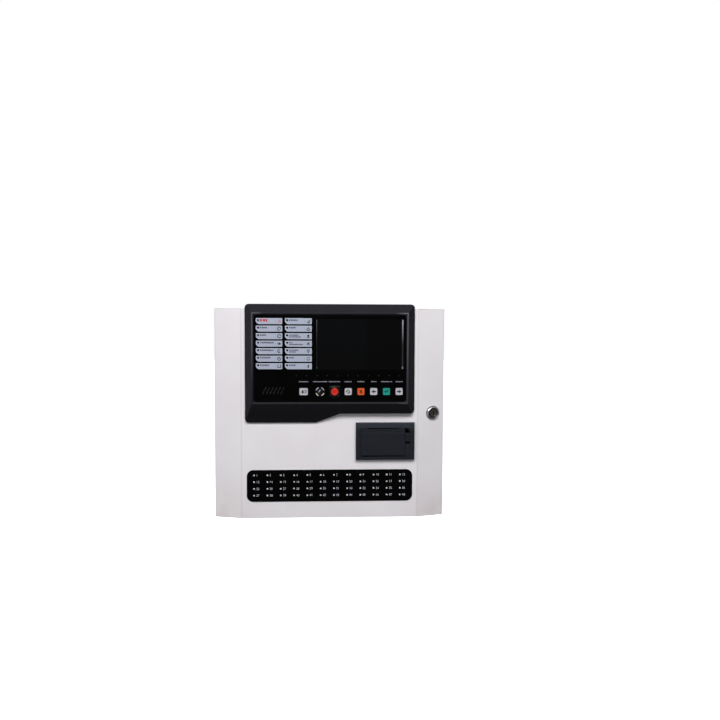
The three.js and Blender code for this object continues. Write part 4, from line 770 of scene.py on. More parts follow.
def bar_between(start, end, width, face):
    """A straight printed stroke."""
    start, end = Vector(start), Vector(end)
    side = (end - start).orthogonal().normalized() * width / 2
    corners = [start - side, end - side, end + side, start + side]
    return slab([tuple(corner) for corner in corners], face - PRINT, face)


def shape(points, x, z, size, face):
    """A filled outline, its points given in a square from -1 to 1."""
    return slab([(x + size * a, z + size * b) for a, b in points], face - PRINT, face)


ARROW = [(-1, 0), (0, -0.9), (0, -0.34), (1, -0.34), (1, 0.34), (0, 0.34), (0, 0.9)]
TICK = [(-1, 0.05), (-0.62, 0.4), (-0.28, 0.02), (0.66, 0.86), (1, 0.5), (-0.26, -0.72)]
BELL = [
    (-0.9, -0.62), (0.9, -0.62), (0.58, -0.2), (0.5, 0.42), (0.2, 0.78), (0, 0.98),
    (-0.2, 0.78), (-0.5, 0.42), (-0.58, -0.2),
]  # fmt: skip
DROP = [(-0.5, -0.55), (0, -0.9), (0.5, -0.55), (0.52, -0.05), (0, 0.95), (-0.52, -0.05)]
HEAD = [(-0.9, -0.5), (0.9, -0.5), (0, 0.9)]


# ---------------------------------------------------------------- fascia

LABEL_COLUMNS = {-136.0: 48.0, -83.0: 49.0}  # left edge and width
LABEL_TOP, LABEL_PITCH, LABEL_HEIGHT, LABEL_CHAMFER = 178.2, 13.77, 10.9, 4.0
LABEL_LINES = [
    [(12.5,), (15.5, 0)],
    [(13.5,), (12.0,)],
    [(11.0,), (17.0, 22.0)],
    [(25.0,), (7.0, 25.0)],
    [(24.0,), (18.0, 12.0)],
    [(20.0,), (9.0,)],
    [(16.5,), (12.0,)],
]
RING = ("arc", 0, 0, 2.9, 1.4)  # its start and sweep follow
LABEL_ICONS = [
    (
        [(HEAD, 0, 1.5, 1.7), (HEAD, -1.7, -1.4, 1.7), (HEAD, 1.7, -1.4, 1.7)],
        [("bar", -2.2, -2.2, 2.2, 2.2, 0.8), (*RING, -120, 150)],
    ),
    (
        [(*RING, 40, 250), ("bar", 2.4, -1.4, 2.4, 1.6, 0.9)],
        [(HEAD, 0, 1.1, 2.2), ("arc", 0, -0.3, 2.7, 1.4, 180, 180)],
    ),
    (
        [(*RING, 10, 330)],
        [("dot", 0, 0.9, 2.1), ("bar", -2.4, -2.2, 2.4, -2.2, 1.3)],
    ),
    (
        [("dot", 0, 0, 2.1), ("arc", 0, 0, 3.0, 0.5, -40, 80), ("arc", 0, 0, 3.0, 0.5, 140, 80)],
        [("bar", -2.3, -2.3, 2.3, 2.3, 1.5), ("bar", -2.3, 2.3, 2.3, -2.3, 1.5)],
    ),
    (
        [(*RING, 60, 250), (HEAD, 0.5, -0.6, 1.5)],
        [("arc", 0, 0, 2.7, 1.5, 10, 160), ("dot", 0, -1.2, 1.6)],
    ),
    (
        [(*RING, 80, 260), ("dot", 1.2, 0.9, 1.2)],
        [("arc", 0, 0, 2.7, 1.3, 190, 160), ("bar", -2.4, 1.8, 2.4, 1.8, 1.2)],
    ),
    (
        [(*RING, 130, 300)],
        [("dot", 0, 1.5, 1.4), (HEAD, 0, -1.1, 2.5)],
    ),
]
ARROW_RIGHT = [(-a, b) for a, b in reversed(ARROW)]
ICONS = {
    "key_function": [
        (BELL, -1.8, 0.1, 3.4),
        ("dot", -1.8, -2.9, 1.0),
        ("arc", -1.0, 0.2, 4.0, 1.1, -44, 88),
        ("arc", -1.0, 0.2, 5.8, 1.0, -34, 68),
    ],
    "key_reset": [
        ("arc", 0, 0, 2.9, 1.5, 50, 130),
        ("arc", 0, 0, 2.9, 1.5, 230, 130),
        ([(-1, -0.6), (1, -0.6), (0, 0.9)], 2.5, 0.1, 1.9),
        ([(-1, 0.6), (0, -0.9), (1, 0.6)], -2.5, -0.1, 1.9),
    ],
    "key_mute": [(BELL, 0, 0.2, 3.7), ("dot", 0, -3.3, 1.1), ("bar", -3.9, 3.6, 3.9, -3.4, 0.9)],
    "key_left": [(ARROW, 0, 0, 4.1)],
    "key_confirm": [(TICK, 0, 0, 3.9)],
    "key_right": [(ARROW_RIGHT, 0, 0, 4.1)],
    "evac_button": [(DROP, -1.6, 0, 2.4), ("dot", 1.9, 1.3, 1.1), ("dot", 1.9, -1.5, 1.1)],
}
KEY_DISH = 0.3
KEYWAY_LEAN = 0.7
TEXT_FROM_LEFT, DIVIDER_FROM_LEFT, ICON_FROM_LEFT = 7.7, 36.0, 42.6
LEGEND_Z = 61.6
LEGENDS = {
    "key_function": 17.0,
    "key_switch_barrel": 26.0,
    "evac_button": 21.0,
    "key_reset": 13.7,
    "key_mute": 13.0,
    "key_left": 10.0,
    "key_confirm": 20.0,
    "key_right": 13.0,
}


def label_outline(left, top, width, margin=0.0):
    """A label with its lower left corner cut off."""
    low, cut = top - LABEL_HEIGHT + margin, LABEL_CHAMFER
    left, right, top = left + margin, left + width - margin, top - margin
    return [(left + cut, low), (right, low), (right, top), (left, top), (left, low + cut)]


def figures(icon, x, z, face):
    """An icon about a point: each figure has its kind, its offset and its sizes."""
    forms = []
    for kind, right, up, *sizes in icon:
        place = (x + right, z + up)
        if kind == "arc":
            forms.append(arc(*place, *sizes, face - PRINT, face))
        elif kind == "bar":
            end = (x + sizes[0], z + sizes[1])
            forms.append(bar_between(place, end, sizes[2], face))
        elif kind == "dot":
            forms.append(dot(*place, *sizes, face))
        else:
            forms.append(shape(kind, *place, *sizes, face))
    return forms


def make_labels():
    face = OVERLAY_FACE
    rims, plates, dark, red, divider, windows = [], [], [], [], [], []
    top_of_label = face - 2 * PRINT
    for column, (left, width) in enumerate(LABEL_COLUMNS.items()):
        for row in range(len(LABEL_LINES)):
            top = LABEL_TOP - row * LABEL_PITCH
            middle = top - LABEL_HEIGHT / 2
            rims.append(slab(label_outline(left, top, width), face - PRINT, face, 1.2))
            plate = label_outline(left, top, width, 0.55)
            plates.append(slab(plate, top_of_label, face - PRINT, 0.8))
            windows.append(dot(left + 4.0, top - 3.7, 1.9, top_of_label, 0.15))
            text = left + TEXT_FROM_LEFT
            first = column == 0 and row == 0
            lines = [length for length in LABEL_LINES[row][column] if length]
            if first:
                red += greeked(text, lines[0] + 3.6, top - 3.9, 5.2, top_of_label)
            for line, length in enumerate([] if first else lines):
                height = 2.9 if len(lines) == 1 else 2.3
                level = top - 3.6 - line * 3.2
                dark += greeked(text, length, level, height, top_of_label)
            spot = left + DIVIDER_FROM_LEFT
            ends = (spot, middle - 2.6), (spot, middle + 2.4)
            divider.append(bar_between(*ends, 0.5, top_of_label))
            icon = figures(LABEL_ICONS[row][column], left + ICON_FROM_LEFT, middle, top_of_label)
            if first:
                red += icon
            else:
                dark += icon
    piece("label_rims", rims, "door", LABEL_RIM)
    piece("label_plates", plates, "door", LABEL)
    piece("label_lines", dark, "door", DARK_INK)
    piece("label_alarm_lines", red, "door", RED_INK)
    piece("label_dividers", divider, "door", LEGEND_INK)
    piece("label_windows", windows, "door", GLOSS)


def make_screen():
    display = Place("display_module")
    face = OVERLAY_FACE
    left, right = display.left - 0.5, display.right
    pane = rectangle(left, right, display.bottom, display.top)
    piece("screen_pane", slab(pane, face - PRINT, face, 1.0), "door", SCREEN)
    # The glass edges carry a painted reflection.
    edges = []
    for x, radius in ((left + 0.9, 0.8), (right - 1.9, 1.3)):
        height = display.top - display.bottom - 2.4
        edge = rod(radius, 0, height, (x, face, display.bottom + 1.2), UP, 20, 0.4)
        squash = Matrix.Translation((0, face, 0)) @ Matrix.Scale(0.28, 4, (0, 1, 0))
        squash = squash @ Matrix.Translation((0, -face, 0))
        bmesh.ops.transform(edge, matrix=squash, verts=edge.verts)
        edges.append(edge)
    piece("screen_edges", edges, "door", GLASS_EDGE_REFLECTION)
    marks = [dot(-62.4 + 18.98 * index, 72.5, 0.62, face) for index in range(11)]
    piece("touch_marks", marks, "door", FAINT_INK_AND_HIGHLIGHT)
    legends = []
    for node, width in LEGENDS.items():
        legends += greeked(Place(node).x - width / 2, width, LEGEND_Z, 2.0, face)
    piece("key_legends", legends, "door", LEGEND_INK)


def make_keys():
    finishes = {"key_mute": KEY_ORANGE, "key_confirm": KEY_TEAL}
    inks = {"key_mute": ORANGE_INK, "key_confirm": TEAL_INK}
    for name in ("key_function", "key_reset", "key_mute", "key_left", "key_confirm", "key_right"):
        refine(name, name, finishes.get(name, KEY_GREY), 0.3, dish=(1.5, KEY_DISH))
        key = Place(name)
        icon = figures(ICONS[name], key.x, key.z, key.front + KEY_DISH)
        piece(name + "_icon", icon, name, inks.get(name, KEY_INK))


def make_key_switch():
    barrel, plug = Place("key_switch_barrel"), Place("key_switch_plug")
    x, z = barrel.x, barrel.z
    depth = barrel.back - barrel.front
    profile = [(5.2, 0), (8, 0), (8, depth - 1.6), (9.35, depth - 1.5), (9.35, depth - 0.5)]
    profile += [(8.9, depth), (8.5, depth), (8.2, depth - 0.35), (5.6, depth - 0.6)]
    profile += [(5.3, depth - 0.35), (5.2, depth - 0.35), (5.2, 0)]
    body = turned(profile, (x, barrel.back, z), FRONT, 64)
    piece("key_switch_body", body, "door", HOUSING, stands_for=["key_switch_barrel"])
    thread = [
        ring(8.12, 7.9, 0, 0.35, (x, barrel.front + 4.0 + 1.1 * turn, z), FRONT, 32, 0.1)
        for turn in range(18)
    ]
    piece("key_switch_thread", thread, "door", CHROME)
    face = barrel.front + 0.35
    # Painted highlights: short pale arcs round the rim stand for glints, in two tones above and
    # below.
    for half, tone, angles in (("upper", PALE_INK_AND_GLINT, (45, 135)), ("lower", CREAM_AND_GLINT, (225, 315))):
        bars = [arc(x, z, 7.6, 1.3, angle - 25, 50, face - 0.15, face + 0.4) for angle in angles]
        piece("key_switch_rim_glints_" + half, bars, "door", tone)
    refine("key_switch_plug", "key_switch", DARK_METAL, 0.12)
    # A painted glint: a pale bar across the plug's face.
    lean = Vector((math.sin(KEYWAY_LEAN), math.cos(KEYWAY_LEAN)))
    centre = Vector((x, z)) + lean.orthogonal() * 1.5
    glint_bar = bar_between(centre - lean * 2.9, centre + lean * 2.9, 1.0, plug.front)
    piece("key_switch_glint", glint_bar, "key_switch", PALE_INK_AND_GLINT)


def make_evacuation():
    button = Place("evac_button")
    refine("evac_housing", "door", HOUSING, 0.25)
    x, z, depth = button.x, button.z, button.back - button.front
    shoulder = depth - 10.1  # where the stem ends and the cap begins
    profile = [(0, 0), (2.5, 0), (2.5, shoulder), (6.6, shoulder)]
    profile += [(6.6, depth - 0.7), (6.4, depth - 0.25), (6.0, depth - 0.03), (5.6, depth)]
    profile += [(5.1, depth - 0.08), (3.4, depth - 0.36), (1.6, depth - 0.47), (0, depth - 0.5)]
    cap = turned(profile, (x, button.back, z), FRONT, 64)
    piece("evac_button_cap", cap, "evac_button", EVAC_RED, stands_for=["evac_button"])
    icon = figures(ICONS["evac_button"], x, z, button.front + 0.42)
    piece("evac_button_icon", icon, "evac_button", ORANGE_INK)
    refine("evac_cover", "evac_cover", CLEAR, 0.2)
    pin = Place("evac_cover_pin")
    axle = rod(0.8, 0, pin.right - pin.left, (pin.left, pin.y, pin.z), RIGHT, 24, 0.2)
    piece("evac_cover_axle", axle, "door", DARK_METAL, stands_for=["evac_cover_pin"])


def make_fascia():
    refine("fascia_bezel", "door", FASCIA, 0.5)
    refine("fascia_overlay", "door", GLOSS, 0.15)
    make_labels()
    make_screen()
    make_keys()
    make_key_switch()
    make_evacuation()


# ---------------------------------------------------------------- zone strip

ZONES_ACROSS, ZONES_DOWN = 12, 4
ZONE_FIRST = (-141.4, -115.0)
ZONE_PITCH = (24.82, 12.72)


def make_zone_strip():
    refine("zone_overlay", "door", GLOSS, 0.15)
    lenses, collars, numbers = [], [], []
    for row in range(ZONES_DOWN):
        for column in range(ZONES_ACROSS):
            x = ZONE_FIRST[0] + column * ZONE_PITCH[0]
            z = ZONE_FIRST[1] - row * ZONE_PITCH[1]
            dome = [(0, 0), (1.55, 0), (1.45, 0.12), (1.0, 0.26), (0.5, 0.33), (0, 0.35)]
            lenses.append(turned(dome, (x, ZONE_FACE, z), FRONT, 16))
            collars.append(ring(1.9, 1.55, 0, 0.12, (x, ZONE_FACE, z), FRONT, 16, 0.05))
            number = str(row * ZONES_ACROSS + column + 1)
            numbers.append(numeral(number, x + 3.9, z, 4.2, ZONE_FACE))
    piece("zone_lenses", lenses, "door", LENS)
    piece("zone_collars", collars, "door", FAINT_INK_AND_HIGHLIGHT)
    piece("zone_numbers", numbers, "door", PALE_INK_AND_GLINT)


# ---------------------------------------------------------------- screws and small parts


def turned_to(axis, centre, form):
    """Moves a form made facing out at the origin to a centre, facing along an axis."""
    turn = FRONT.rotation_difference(axis).to_matrix().to_4x4()
    bmesh.ops.transform(form, matrix=Matrix.Translation(centre) @ turn, verts=form.verts)
    return form


def screws(name, centres, body, radius=2.6, axis=FRONT, height=1.5):
    """Pan-head screws with a cross recess, their seats at the centres."""
    heads, recesses = [], []
    for centre in centres:
        profile = [(0, 0), (radius, 0), (radius, height * 0.45), (radius * 0.82, height * 0.85)]
        profile += [(radius * 0.45, height), (0, height)]
        heads.append(turned(profile, centre, axis, 20))
        # A near-black cross of painted shade stands for each recess.
        for long, short in ((radius * 0.52, radius * 0.13), (radius * 0.13, radius * 0.52)):
            arm = block((-long, -height - 0.03, -short), (long, -height + 0.3, short))
            recesses.append(turned_to(axis, centre, arm))
    piece(name + "_heads", heads, body, ZINC)
    piece(name + "_recesses", recesses, body, HOLE_SHADE_AND_SEAM)


def grid(lefts, bottoms, depth):
    return [(x, depth, z) for x in lefts for z in bottoms]


def chip(x, z, width, height, face, side=-1, thick=2.2, legs=8):
    """A packaged circuit and its two rows of legs, on a face that looks along side × y."""
    near, far = sorted((face + side * 0.3, face + side * thick))
    case = block_about(x, z, width / 2, height / 2, near, far, 0.3, 1)
    near, far = sorted((face, face + side * 0.9))
    feet = []
    for leg in range(legs):
        at = x - width / 2 + width * (leg + 0.5) / legs
        feet.append(block_about(at, z, width / legs * 0.2, height / 2 + 1.1, near, far))
    return case, feet


def canister(x, z, radius, height, face):
    """An electrolytic capacitor: a sleeve with a rolled top and a groove near its foot."""
    profile = [(0, 0), (radius, 0), (radius, 0.9), (radius * 0.9, 1.3), (radius, 1.8)]
    profile += [(radius, height - 0.6), (radius * 0.86, height), (radius * 0.7, height - 0.2)]
    profile.append((0, height - 0.2))
    return turned(profile, (x, face, z), FRONT, 28)


def paper_label(name, box, half, top, radius, finish, widths, margin, first, pitch, letter):
    """A label low on the front of a box, with greeked lines a pitch apart."""
    face = box.front - 0.12
    outline = rectangle(box.x - half, box.x + half, box.bottom + 8, box.bottom + top)
    piece(name, slab(outline, face, box.front, radius), "box", finish, slot="paper")
    lines = []
    for index, width in enumerate(widths):
        level = box.bottom + first - pitch * index
        lines += greeked(box.x - half + margin, width, level, letter, face)
    piece(name + "_lines", lines, "box", DARK_INK, slot="fuse_black")


# ---------------------------------------------------------------- electronics in the box


def terminal_details(node, poles, way):
    """Screws on the front of a terminal row, and openings for wires on its slope.

    The way is 1 where the openings look up and -1 where they look down.
    """
    box = Place(node)
    refine(node, "box", TERMINAL, 0.3)
    pitch = (box.right - box.left) / poles
    level = box.z - way * 3.4
    slope = Vector((0, box.back - (box.back - box.front) * 0.6 - box.front, way * 7.0))
    outward = Vector((0, -abs(slope.z), slope.y * way)).normalized()
    heads, slots, mouths, gaps = [], [], [], []
    for pole in range(poles):
        x = box.left + pitch * (pole + 0.5)
        heads.append(rod(pitch * 0.3, -0.4, 0.25, (x, box.front, level), FRONT, 16, 0.1))
        slots.append(block_about(x, level, pitch * 0.24, 0.3, box.front - 0.3, box.front))
        mouth = block_about(0, 0, pitch * 0.3, 2.3, -0.12, 0.3)
        centre = Vector((x, box.front, box.z)) + slope * 0.5
        mouths.append(turned_to(outward, centre, mouth))
        if pole:
            edge = box.left + pitch * pole
            low, high = min(level - 3, box.z), max(level + 3, box.z)
            corners = (edge - 0.12, box.front - 0.06, low), (edge + 0.12, box.front + 0.3, high)
            gaps.append(block(*corners))
    piece(node + "_screws", heads, "box", ZINC)
    # The slots, wire openings and gaps between poles are near-black painted shade.
    piece(node + "_openings", slots + mouths + gaps, "box", HOLE_SHADE_AND_SEAM)


BOARD_CHIPS = [
    (60, 60, 24, 24, 16), (112, 66, 14, 14, 12), (150, 60, 16, 8, 8), (60, 110, 12, 8, 8),
    (88, 112, 16, 8, 10), (128, 108, 20, 12, 14), (168, 112, 12, 8, 8), (208, 78, 14, 10, 10),
    (28, 86, 9, 5, 4), (28, 104, 9, 5, 4), (28, 122, 9, 5, 4), (196, 118, 9, 5, 4),
]  # across, down, width, height and legs  # fmt: skip
BOARD_CANS = [
    (198, 46, 5, 12), (214, 46, 5, 12), (230, 46, 5, 12), (228, 66, 6.3, 15),
    (172, 160, 8, 15.5), (194, 160, 8, 15.5), (216, 160, 5, 11), (230, 176, 5, 11),
]  # across, down, radius and height  # fmt: skip
BOARD_SOCKETS = [(236, 104, 8, 26), (236, 138, 8, 20), (100, 146, 44, 8), (40, 146, 30, 8)]
SOCKET_PITCH = 3.4
DOOR_CHIPS = [
    (0, 130, 18, 18, 12), (40, 120, 14, 8, 8), (-60, 120, 14, 8, 8),
    (80, 140, 10, 6, 6), (60, 80, 12, 8, 8), (-20, 90, 9, 5, 4),
]  # x, z, width, height and legs  # fmt: skip


def is_free(across, down):
    """Whether a spot on the main board is clear of its larger parts."""
    on_chip = any(
        abs(across - a) < width / 2 + 5 and abs(down - d) < height / 2 + 5
        for a, d, width, height, _ in BOARD_CHIPS
    )
    by_cans = across > 160 and down > 148 or across > 192 and down < 76 or across > 228
    return not (on_chip or by_cans or 138 < down < 154)


def make_board_components():
    board, plate = Place("main_board"), Place("chassis_plate")
    face, left, top = board.front, board.left, board.top
    cases, feet = [], []
    for across, down, width, height, legs in BOARD_CHIPS:
        case, its_legs = chip(left + across, top - down, width, height, face, legs=legs)
        cases.append(case)
        feet += its_legs
    piece("board_chips", cases, "box", CHIP)
    piece("board_chip_legs", feet, "box", ZINC)
    relays = [
        block((x, face - 15.5, top - 214), (x + 15, face, top - 190), 0.6)
        for x in (left + 8 + 21 * index for index in range(7))
    ]
    piece("board_relays", relays, "box", RELAY)
    cans = [canister(left + x, top - z, *sizes, face) for x, z, *sizes in BOARD_CANS]
    piece("board_capacitors", cans, "box", CAPACITOR)
    sockets, pins = [], []
    for across, down, width, height in BOARD_SOCKETS:
        x, z = left + across, top - down
        sockets.append(block_about(x, z, width / 2, height / 2, face - 9, face, 0.5))
        long = max(width, height)
        for step in range(int(long / SOCKET_PITCH)):
            shift = (step + 0.5) * SOCKET_PITCH - long / 2
            place = (x + shift, z) if width > height else (x, z + shift)
            pins.append(block_about(*place, 0.8, 0.8, face - 9.06, face - 8.8))
    piece("board_sockets", sockets, "box", CREAM_AND_GLINT, slot="paper")
    # The socket mouths are near-black painted shade.
    piece("board_socket_mouths", pins, "box", HOLE_SHADE_AND_SEAM)
    resistors, ends = [], []
    for index in range(84):
        across, down = 18 + (index * 37) % 208, 30 + (index * 53) % 146
        if is_free(across, down):
            x, z = left + across, top - down
            resistors.append(block_about(x, z, 1.1, 0.7, face - 0.8, face))
            ends += [block_about(x + end, z, 0.3, 0.72, face - 0.7, face) for end in (-1.3, 1.3)]
    piece("board_resistors", resistors, "box", CHIP)
    piece("board_solder", ends, "box", ZINC)
    indicators = [dot(left + 30 + 9 * index, top - 178, 1.4, face, 1.6) for index in range(6)]
    piece("board_indicators", indicators, "box", TAG_RED)
    levels = (board.bottom + 21, board.top - 24)
    corners = grid((board.left + 5, board.x, board.right - 5), levels, face)
    screws("board_screws", corners, "box", 2.8)
    gap = plate.front - board.back
    post = [(0, 0), (3.2, 0), (3.2, gap), (0, gap)]
    posts = [turned(post, (x, plate.front, z), FRONT, 6) for x, _, z in corners]
    piece("board_posts", posts, "box", BRASS, smooth=20)


def make_power_supply():
    case, mains = Place("power_supply_case"), Place("mains_terminal_block")
    refine("power_supply_case", "box", PERFORATED, 1.2, segments=3)
    corners = grid((case.left + 6, case.right - 6), (case.bottom + 6, case.top - 6), case.front)
    screws("supply_screws", corners, "box", 2.4)
    paper_label("supply_label", case, 38, 42, 2.0, PALE_INK_AND_GLINT, (46, 60, 52, 34), 5, 36, 7, 2.6)
    refine("mains_terminal_block", "box", KEY_GREY, 0.4)
    pitch = (mains.right - mains.left) / 4
    face, level = mains.front, mains.z
    heads, slots, walls = [], [], []
    for pole in range(4):
        x = mains.left + pitch * (pole + 0.5)
        heads.append(rod(3.2, -0.4, 0.3, (x, face, level), FRONT, 20, 0.15))
        slots.append(block_about(x, level, 2.4, 0.4, face - 0.36, face))
        if pole:
            edge = mains.left + pitch * pole
            walls.append(block_about(edge, level, 0.7, 3.8, face - 1.2, face, 0.2, 1))
    piece("mains_screws", heads, "box", BRASS)
    # The screw slots are near-black painted shade.
    piece("mains_slots", slots, "box", HOLE_SHADE_AND_SEAM)
    piece("mains_walls", walls, "box", KEY_GREY)
    fuse = Place("fuse_holder")
    foot = (fuse.left, fuse.y, fuse.z)
    length, radius = fuse.right - fuse.left, (fuse.top - fuse.bottom) / 2
    profile = [(0, 0), (radius * 0.8, 0), (radius * 0.86, 0.4), (radius * 0.86, 8), (radius, 8.2)]
    profile += [(radius, length - 13), (radius * 0.84, length - 12.6), (radius * 0.84, length - 11)]
    profile += [(radius, length - 10.8), (radius, length - 0.8), (radius * 0.9, length)]
    profile.append((0, length))
    holder = turned(profile, foot, RIGHT, 40)
    piece("fuse_body", holder, "box", FUSE, stands_for=["fuse_holder"])
    clips = [
        ring(radius - 0.02, radius * 0.8, at, at + 2.2, foot, RIGHT, 32, 0.1)
        for at in (11.0, length - 17.0)
    ]
    piece("fuse_clips", clips, "box", BRASS)


def make_electronics():
    refine("chassis_plate", "box", ZINC, 0.25)
    refine("main_board", "box", BOARD, 0.12, segments=1)
    terminal_details("terminal_block_loops", 26, 1)
    terminal_details("terminal_block_outputs", 19, 1)
    terminal_details("terminal_block_relays", 30, -1)
    make_board_components()
    make_power_supply()
    plate = Place("chassis_plate")
    fixing = grid((plate.left + 4, plate.right - 4), (-80, 45, 165), plate.front)
    screws("plate_screws", fixing, "box", 3.2)
    stud = Place("earth_stud")
    radius, length = (stud.right - stud.left) / 2, stud.back - stud.front
    profile = [(0, 0), (radius, 0)]
    for turn in range(int(length - 4)):
        profile += [(radius, 1.0 + turn), (radius * 0.84, 1.5 + turn)]
    profile += [(radius * 0.7, length - 0.2), (0, length)]
    bolt = turned(profile, (stud.x, stud.back, stud.z), FRONT, 24)
    piece("earth_bolt", bolt, "box", BRASS, stands_for=["earth_stud"])
    bore, flats = radius * 0.9, radius * 1.9
    profile = [(bore, 0), (flats, 0), (flats, 3.2), (bore, 3.2), (bore, 0)]
    nut = turned(profile, (stud.x, stud.back - 4.0, stud.z), FRONT, 6)
    washer = ring(radius * 2.1, bore, 0, 0.8, (stud.x, stud.back - 3.0, stud.z), FRONT, 32, 0.15)
    piece("earth_nut", [nut, washer], "box", BRASS, smooth=20)


def make_batteries():
    for node in ("battery_left", "battery_right"):
        box = Place(node)
        refine(node, "box", BATTERY, 1.6, segments=3)
        lid, proud = box.top - 16, 0.035
        low = (box.left - proud, box.front - 3 * proud, lid - 0.4)
        line = block(low, (box.right + proud, box.back - 1, lid + 0.4), 0.15, 1)
        piece(node + "_lid_line", line, "box", HOLE_SHADE_AND_SEAM)
        lines = (92, 70, 84)
        paper_label(node + "_label", box, 56, 40, 1.5, LABEL_RIM, lines, 6, 33, 9, 3.4)
        for side, pole, finish in ((-58, "plus", TAG_RED), (58, "minus", CHIP)):
            x, face, top = box.x + side, box.front, box.top
            foot = block((x - 6, face + 8, top - 0.3), (x + 6, face + 22, top + 1.4), 0.5)
            piece(f"{node}_terminal_base_{pole}", foot, "box", finish)
            low, high = (x - 0.4, face + 11.6, top + 1.0), (x + 0.4, face + 17.9, top + 4.4)
            piece(f"{node}_blade_{pole}", block(low, high, 0.12, 1), "box", ZINC)
        valves = [
            rod(4.2, -0.4, 0.45, (box.x - 35 + 14 * index, box.y, box.top), UP, 24, 0.25)
            for index in range(6)
        ]
        piece(node + "_valves", valves, "box", BATTERY)
    refine("battery_strap", "box", ZINC, 0.3)
    strap = Place("battery_strap")
    feet = grid((strap.left + 5, strap.right - 5), (strap.z,), strap.back - 1.5)
    screws("strap_screws", feet, "box", 2.8)
    low, high = strap.bottom + 1.5, strap.top - 1.5
    near, far = strap.front + 1.5, strap.front + 2.45
    pads = [block((x - 22, near, low), (x + 22, far, high), 0.3, 1) for x in (-80, 80)]
    piece("strap_pads", pads, "box", FOAM)


# ---------------------------------------------------------------- hinges and the door's back


def make_hinges():
    for place in ("upper", "lower"):
        refine(f"hinge_box_leaf_{place}", "box", ZINC, 0.3)
        refine(f"hinge_door_leaf_{place}", "door", ZINC, 0.3)
        pin = Place(f"hinge_pin_{place}")
        radius, length = (pin.right - pin.left) / 2, pin.top - pin.bottom
        profile = [(0, 0), (radius - 0.4, 0), (radius, 0.4), (radius, length - 0.8)]
        profile += [(radius - 0.3, length - 0.25), (radius - 0.8, length), (0, length)]
        spindle = turned(profile, (pin.x, pin.y, pin.bottom), UP, 32)
        stands_for = [f"hinge_pin_{place}"]
        piece(f"hinge_spindle_{place}", spindle, "box", CHROME, stands_for=stands_for)


def make_knockouts():
    """Punched discs in the top wall that an installer knocks out for more cables."""
    wall = Place("box_wall_top")
    for index, x in enumerate((-175.0, -60.0, 60.0, 175.0)):
        groove = ring(10.6, 10.1, 0, 0.25, (x, -37.75, wall.top), UP, 48, 0.08)
        piece(f"knockout_{index}", groove, "box", PAINT)


GRILLE_SLOTS, GRILLE_PITCH, GRILLE_LEAN = 6, 6.6, 0.45
GRILLE_CLOTH = (-123.45, -123.25)  # its front and back


def make_speaker():
    speaker = Place("speaker")
    radius, depth = (speaker.right - speaker.left) / 2, speaker.back - speaker.front
    centre = (speaker.x, speaker.back, speaker.z)
    magnet = radius * 0.6
    profile = [(0, 0), (magnet - 0.4, 0), (magnet, 0.4), (magnet, depth * 0.4)]
    profile += [(radius - 0.5, depth * 0.7), (radius, depth * 0.74), (radius, depth - 0.3)]
    profile += [(radius - 0.3, depth), (radius - 1.6, depth), (radius - 2.0, depth - 0.4)]
    profile += [(radius - 4.2, depth - 0.7), (6.0, depth * 0.74), (5.2, depth * 0.72)]
    profile += [(3.0, depth * 0.82), (0, depth * 0.86)]
    body = turned(profile, centre, FRONT, 48)
    piece("speaker_body", body, "door", RUBBER, stands_for=["speaker"])
    basket = ring(magnet + 0.02, magnet - 2.5, -0.01, 0.35, centre, FRONT, 40, 0.1)
    piece("speaker_magnet_ring", basket, "door", ZINC)
    x, z = speaker.x, speaker.z
    cloth = slab(rectangle(x - 25, x + 25, z - 10, z + 10), *GRILLE_CLOTH)
    piece("grille_cloth", cloth, "door", RUBBER)
    # Painted highlights: thin grey bars along one side of each grille slot.
    lean = Vector((math.sin(GRILLE_LEAN), math.cos(GRILLE_LEAN)))
    edges = []
    for index in range(GRILLE_SLOTS):
        side = Vector((x + (index - (GRILLE_SLOTS - 1) / 2) * GRILLE_PITCH + 0.95, z - 0.4))
        for low, high in ((-7.3, -1.4), (1.2, 7.1)):
            edges.append(bar_between(side + lean * low, side + lean * high, 0.3, OVERLAY_FACE))
    piece("grille_edge_highlights", edges, "door", FAINT_INK_AND_HIGHLIGHT)


def make_door_boards():
    board, zones = Place("fascia_board"), Place("zone_led_board")
    refine("display_module", "door", DISPLAY, 0.4)
    refine("fascia_board", "door", BOARD, 0.12, segments=1)
    refine("zone_led_board", "door", BOARD, 0.12, segments=1)
    chips = [
        chip(x, z, width, height, board.back, 1, 2.0, legs)
        for x, z, width, height, legs in DOOR_CHIPS
    ]
    chips += [chip(-125 + 50 * index, zones.z, 14, 6, zones.back, 1, 1.8, 8) for index in range(6)]
    piece("door_chips", [case for case, _ in chips], "door", CHIP)
    piece("door_chip_legs", [foot for _, feet in chips for foot in feet], "door", ZINC)
    sockets = [
        block((95, board.back, 100), (101, board.back + 5.5, 130), 0.4, 1),
        block((-12, zones.back, zones.z - 18), (12, zones.back + 5.0, zones.z - 12), 0.4, 1),
    ]
    piece("door_sockets", sockets, "door", CREAM_AND_GLINT, slot="paper")
    for name, place, margin, radius in (
        ("fascia_board_screws", board, 6, 2.4),
        ("zone_board_screws", zones, 5, 2.2),
    ):
        lefts = (place.left + 6, place.x, place.right - 6)
        centres = grid(lefts, (place.bottom + margin, place.top - margin), place.back)
        screws(name, centres, "door", radius, -FRONT)


# ---------------------------------------------------------------- lock and printer


LOCK_SEAT = Vector((194.0, -101.06, 0))  # where the lock's axis meets the wing
WING_NORMAL = Vector((0.28995, -0.95704, 0)).normalized()


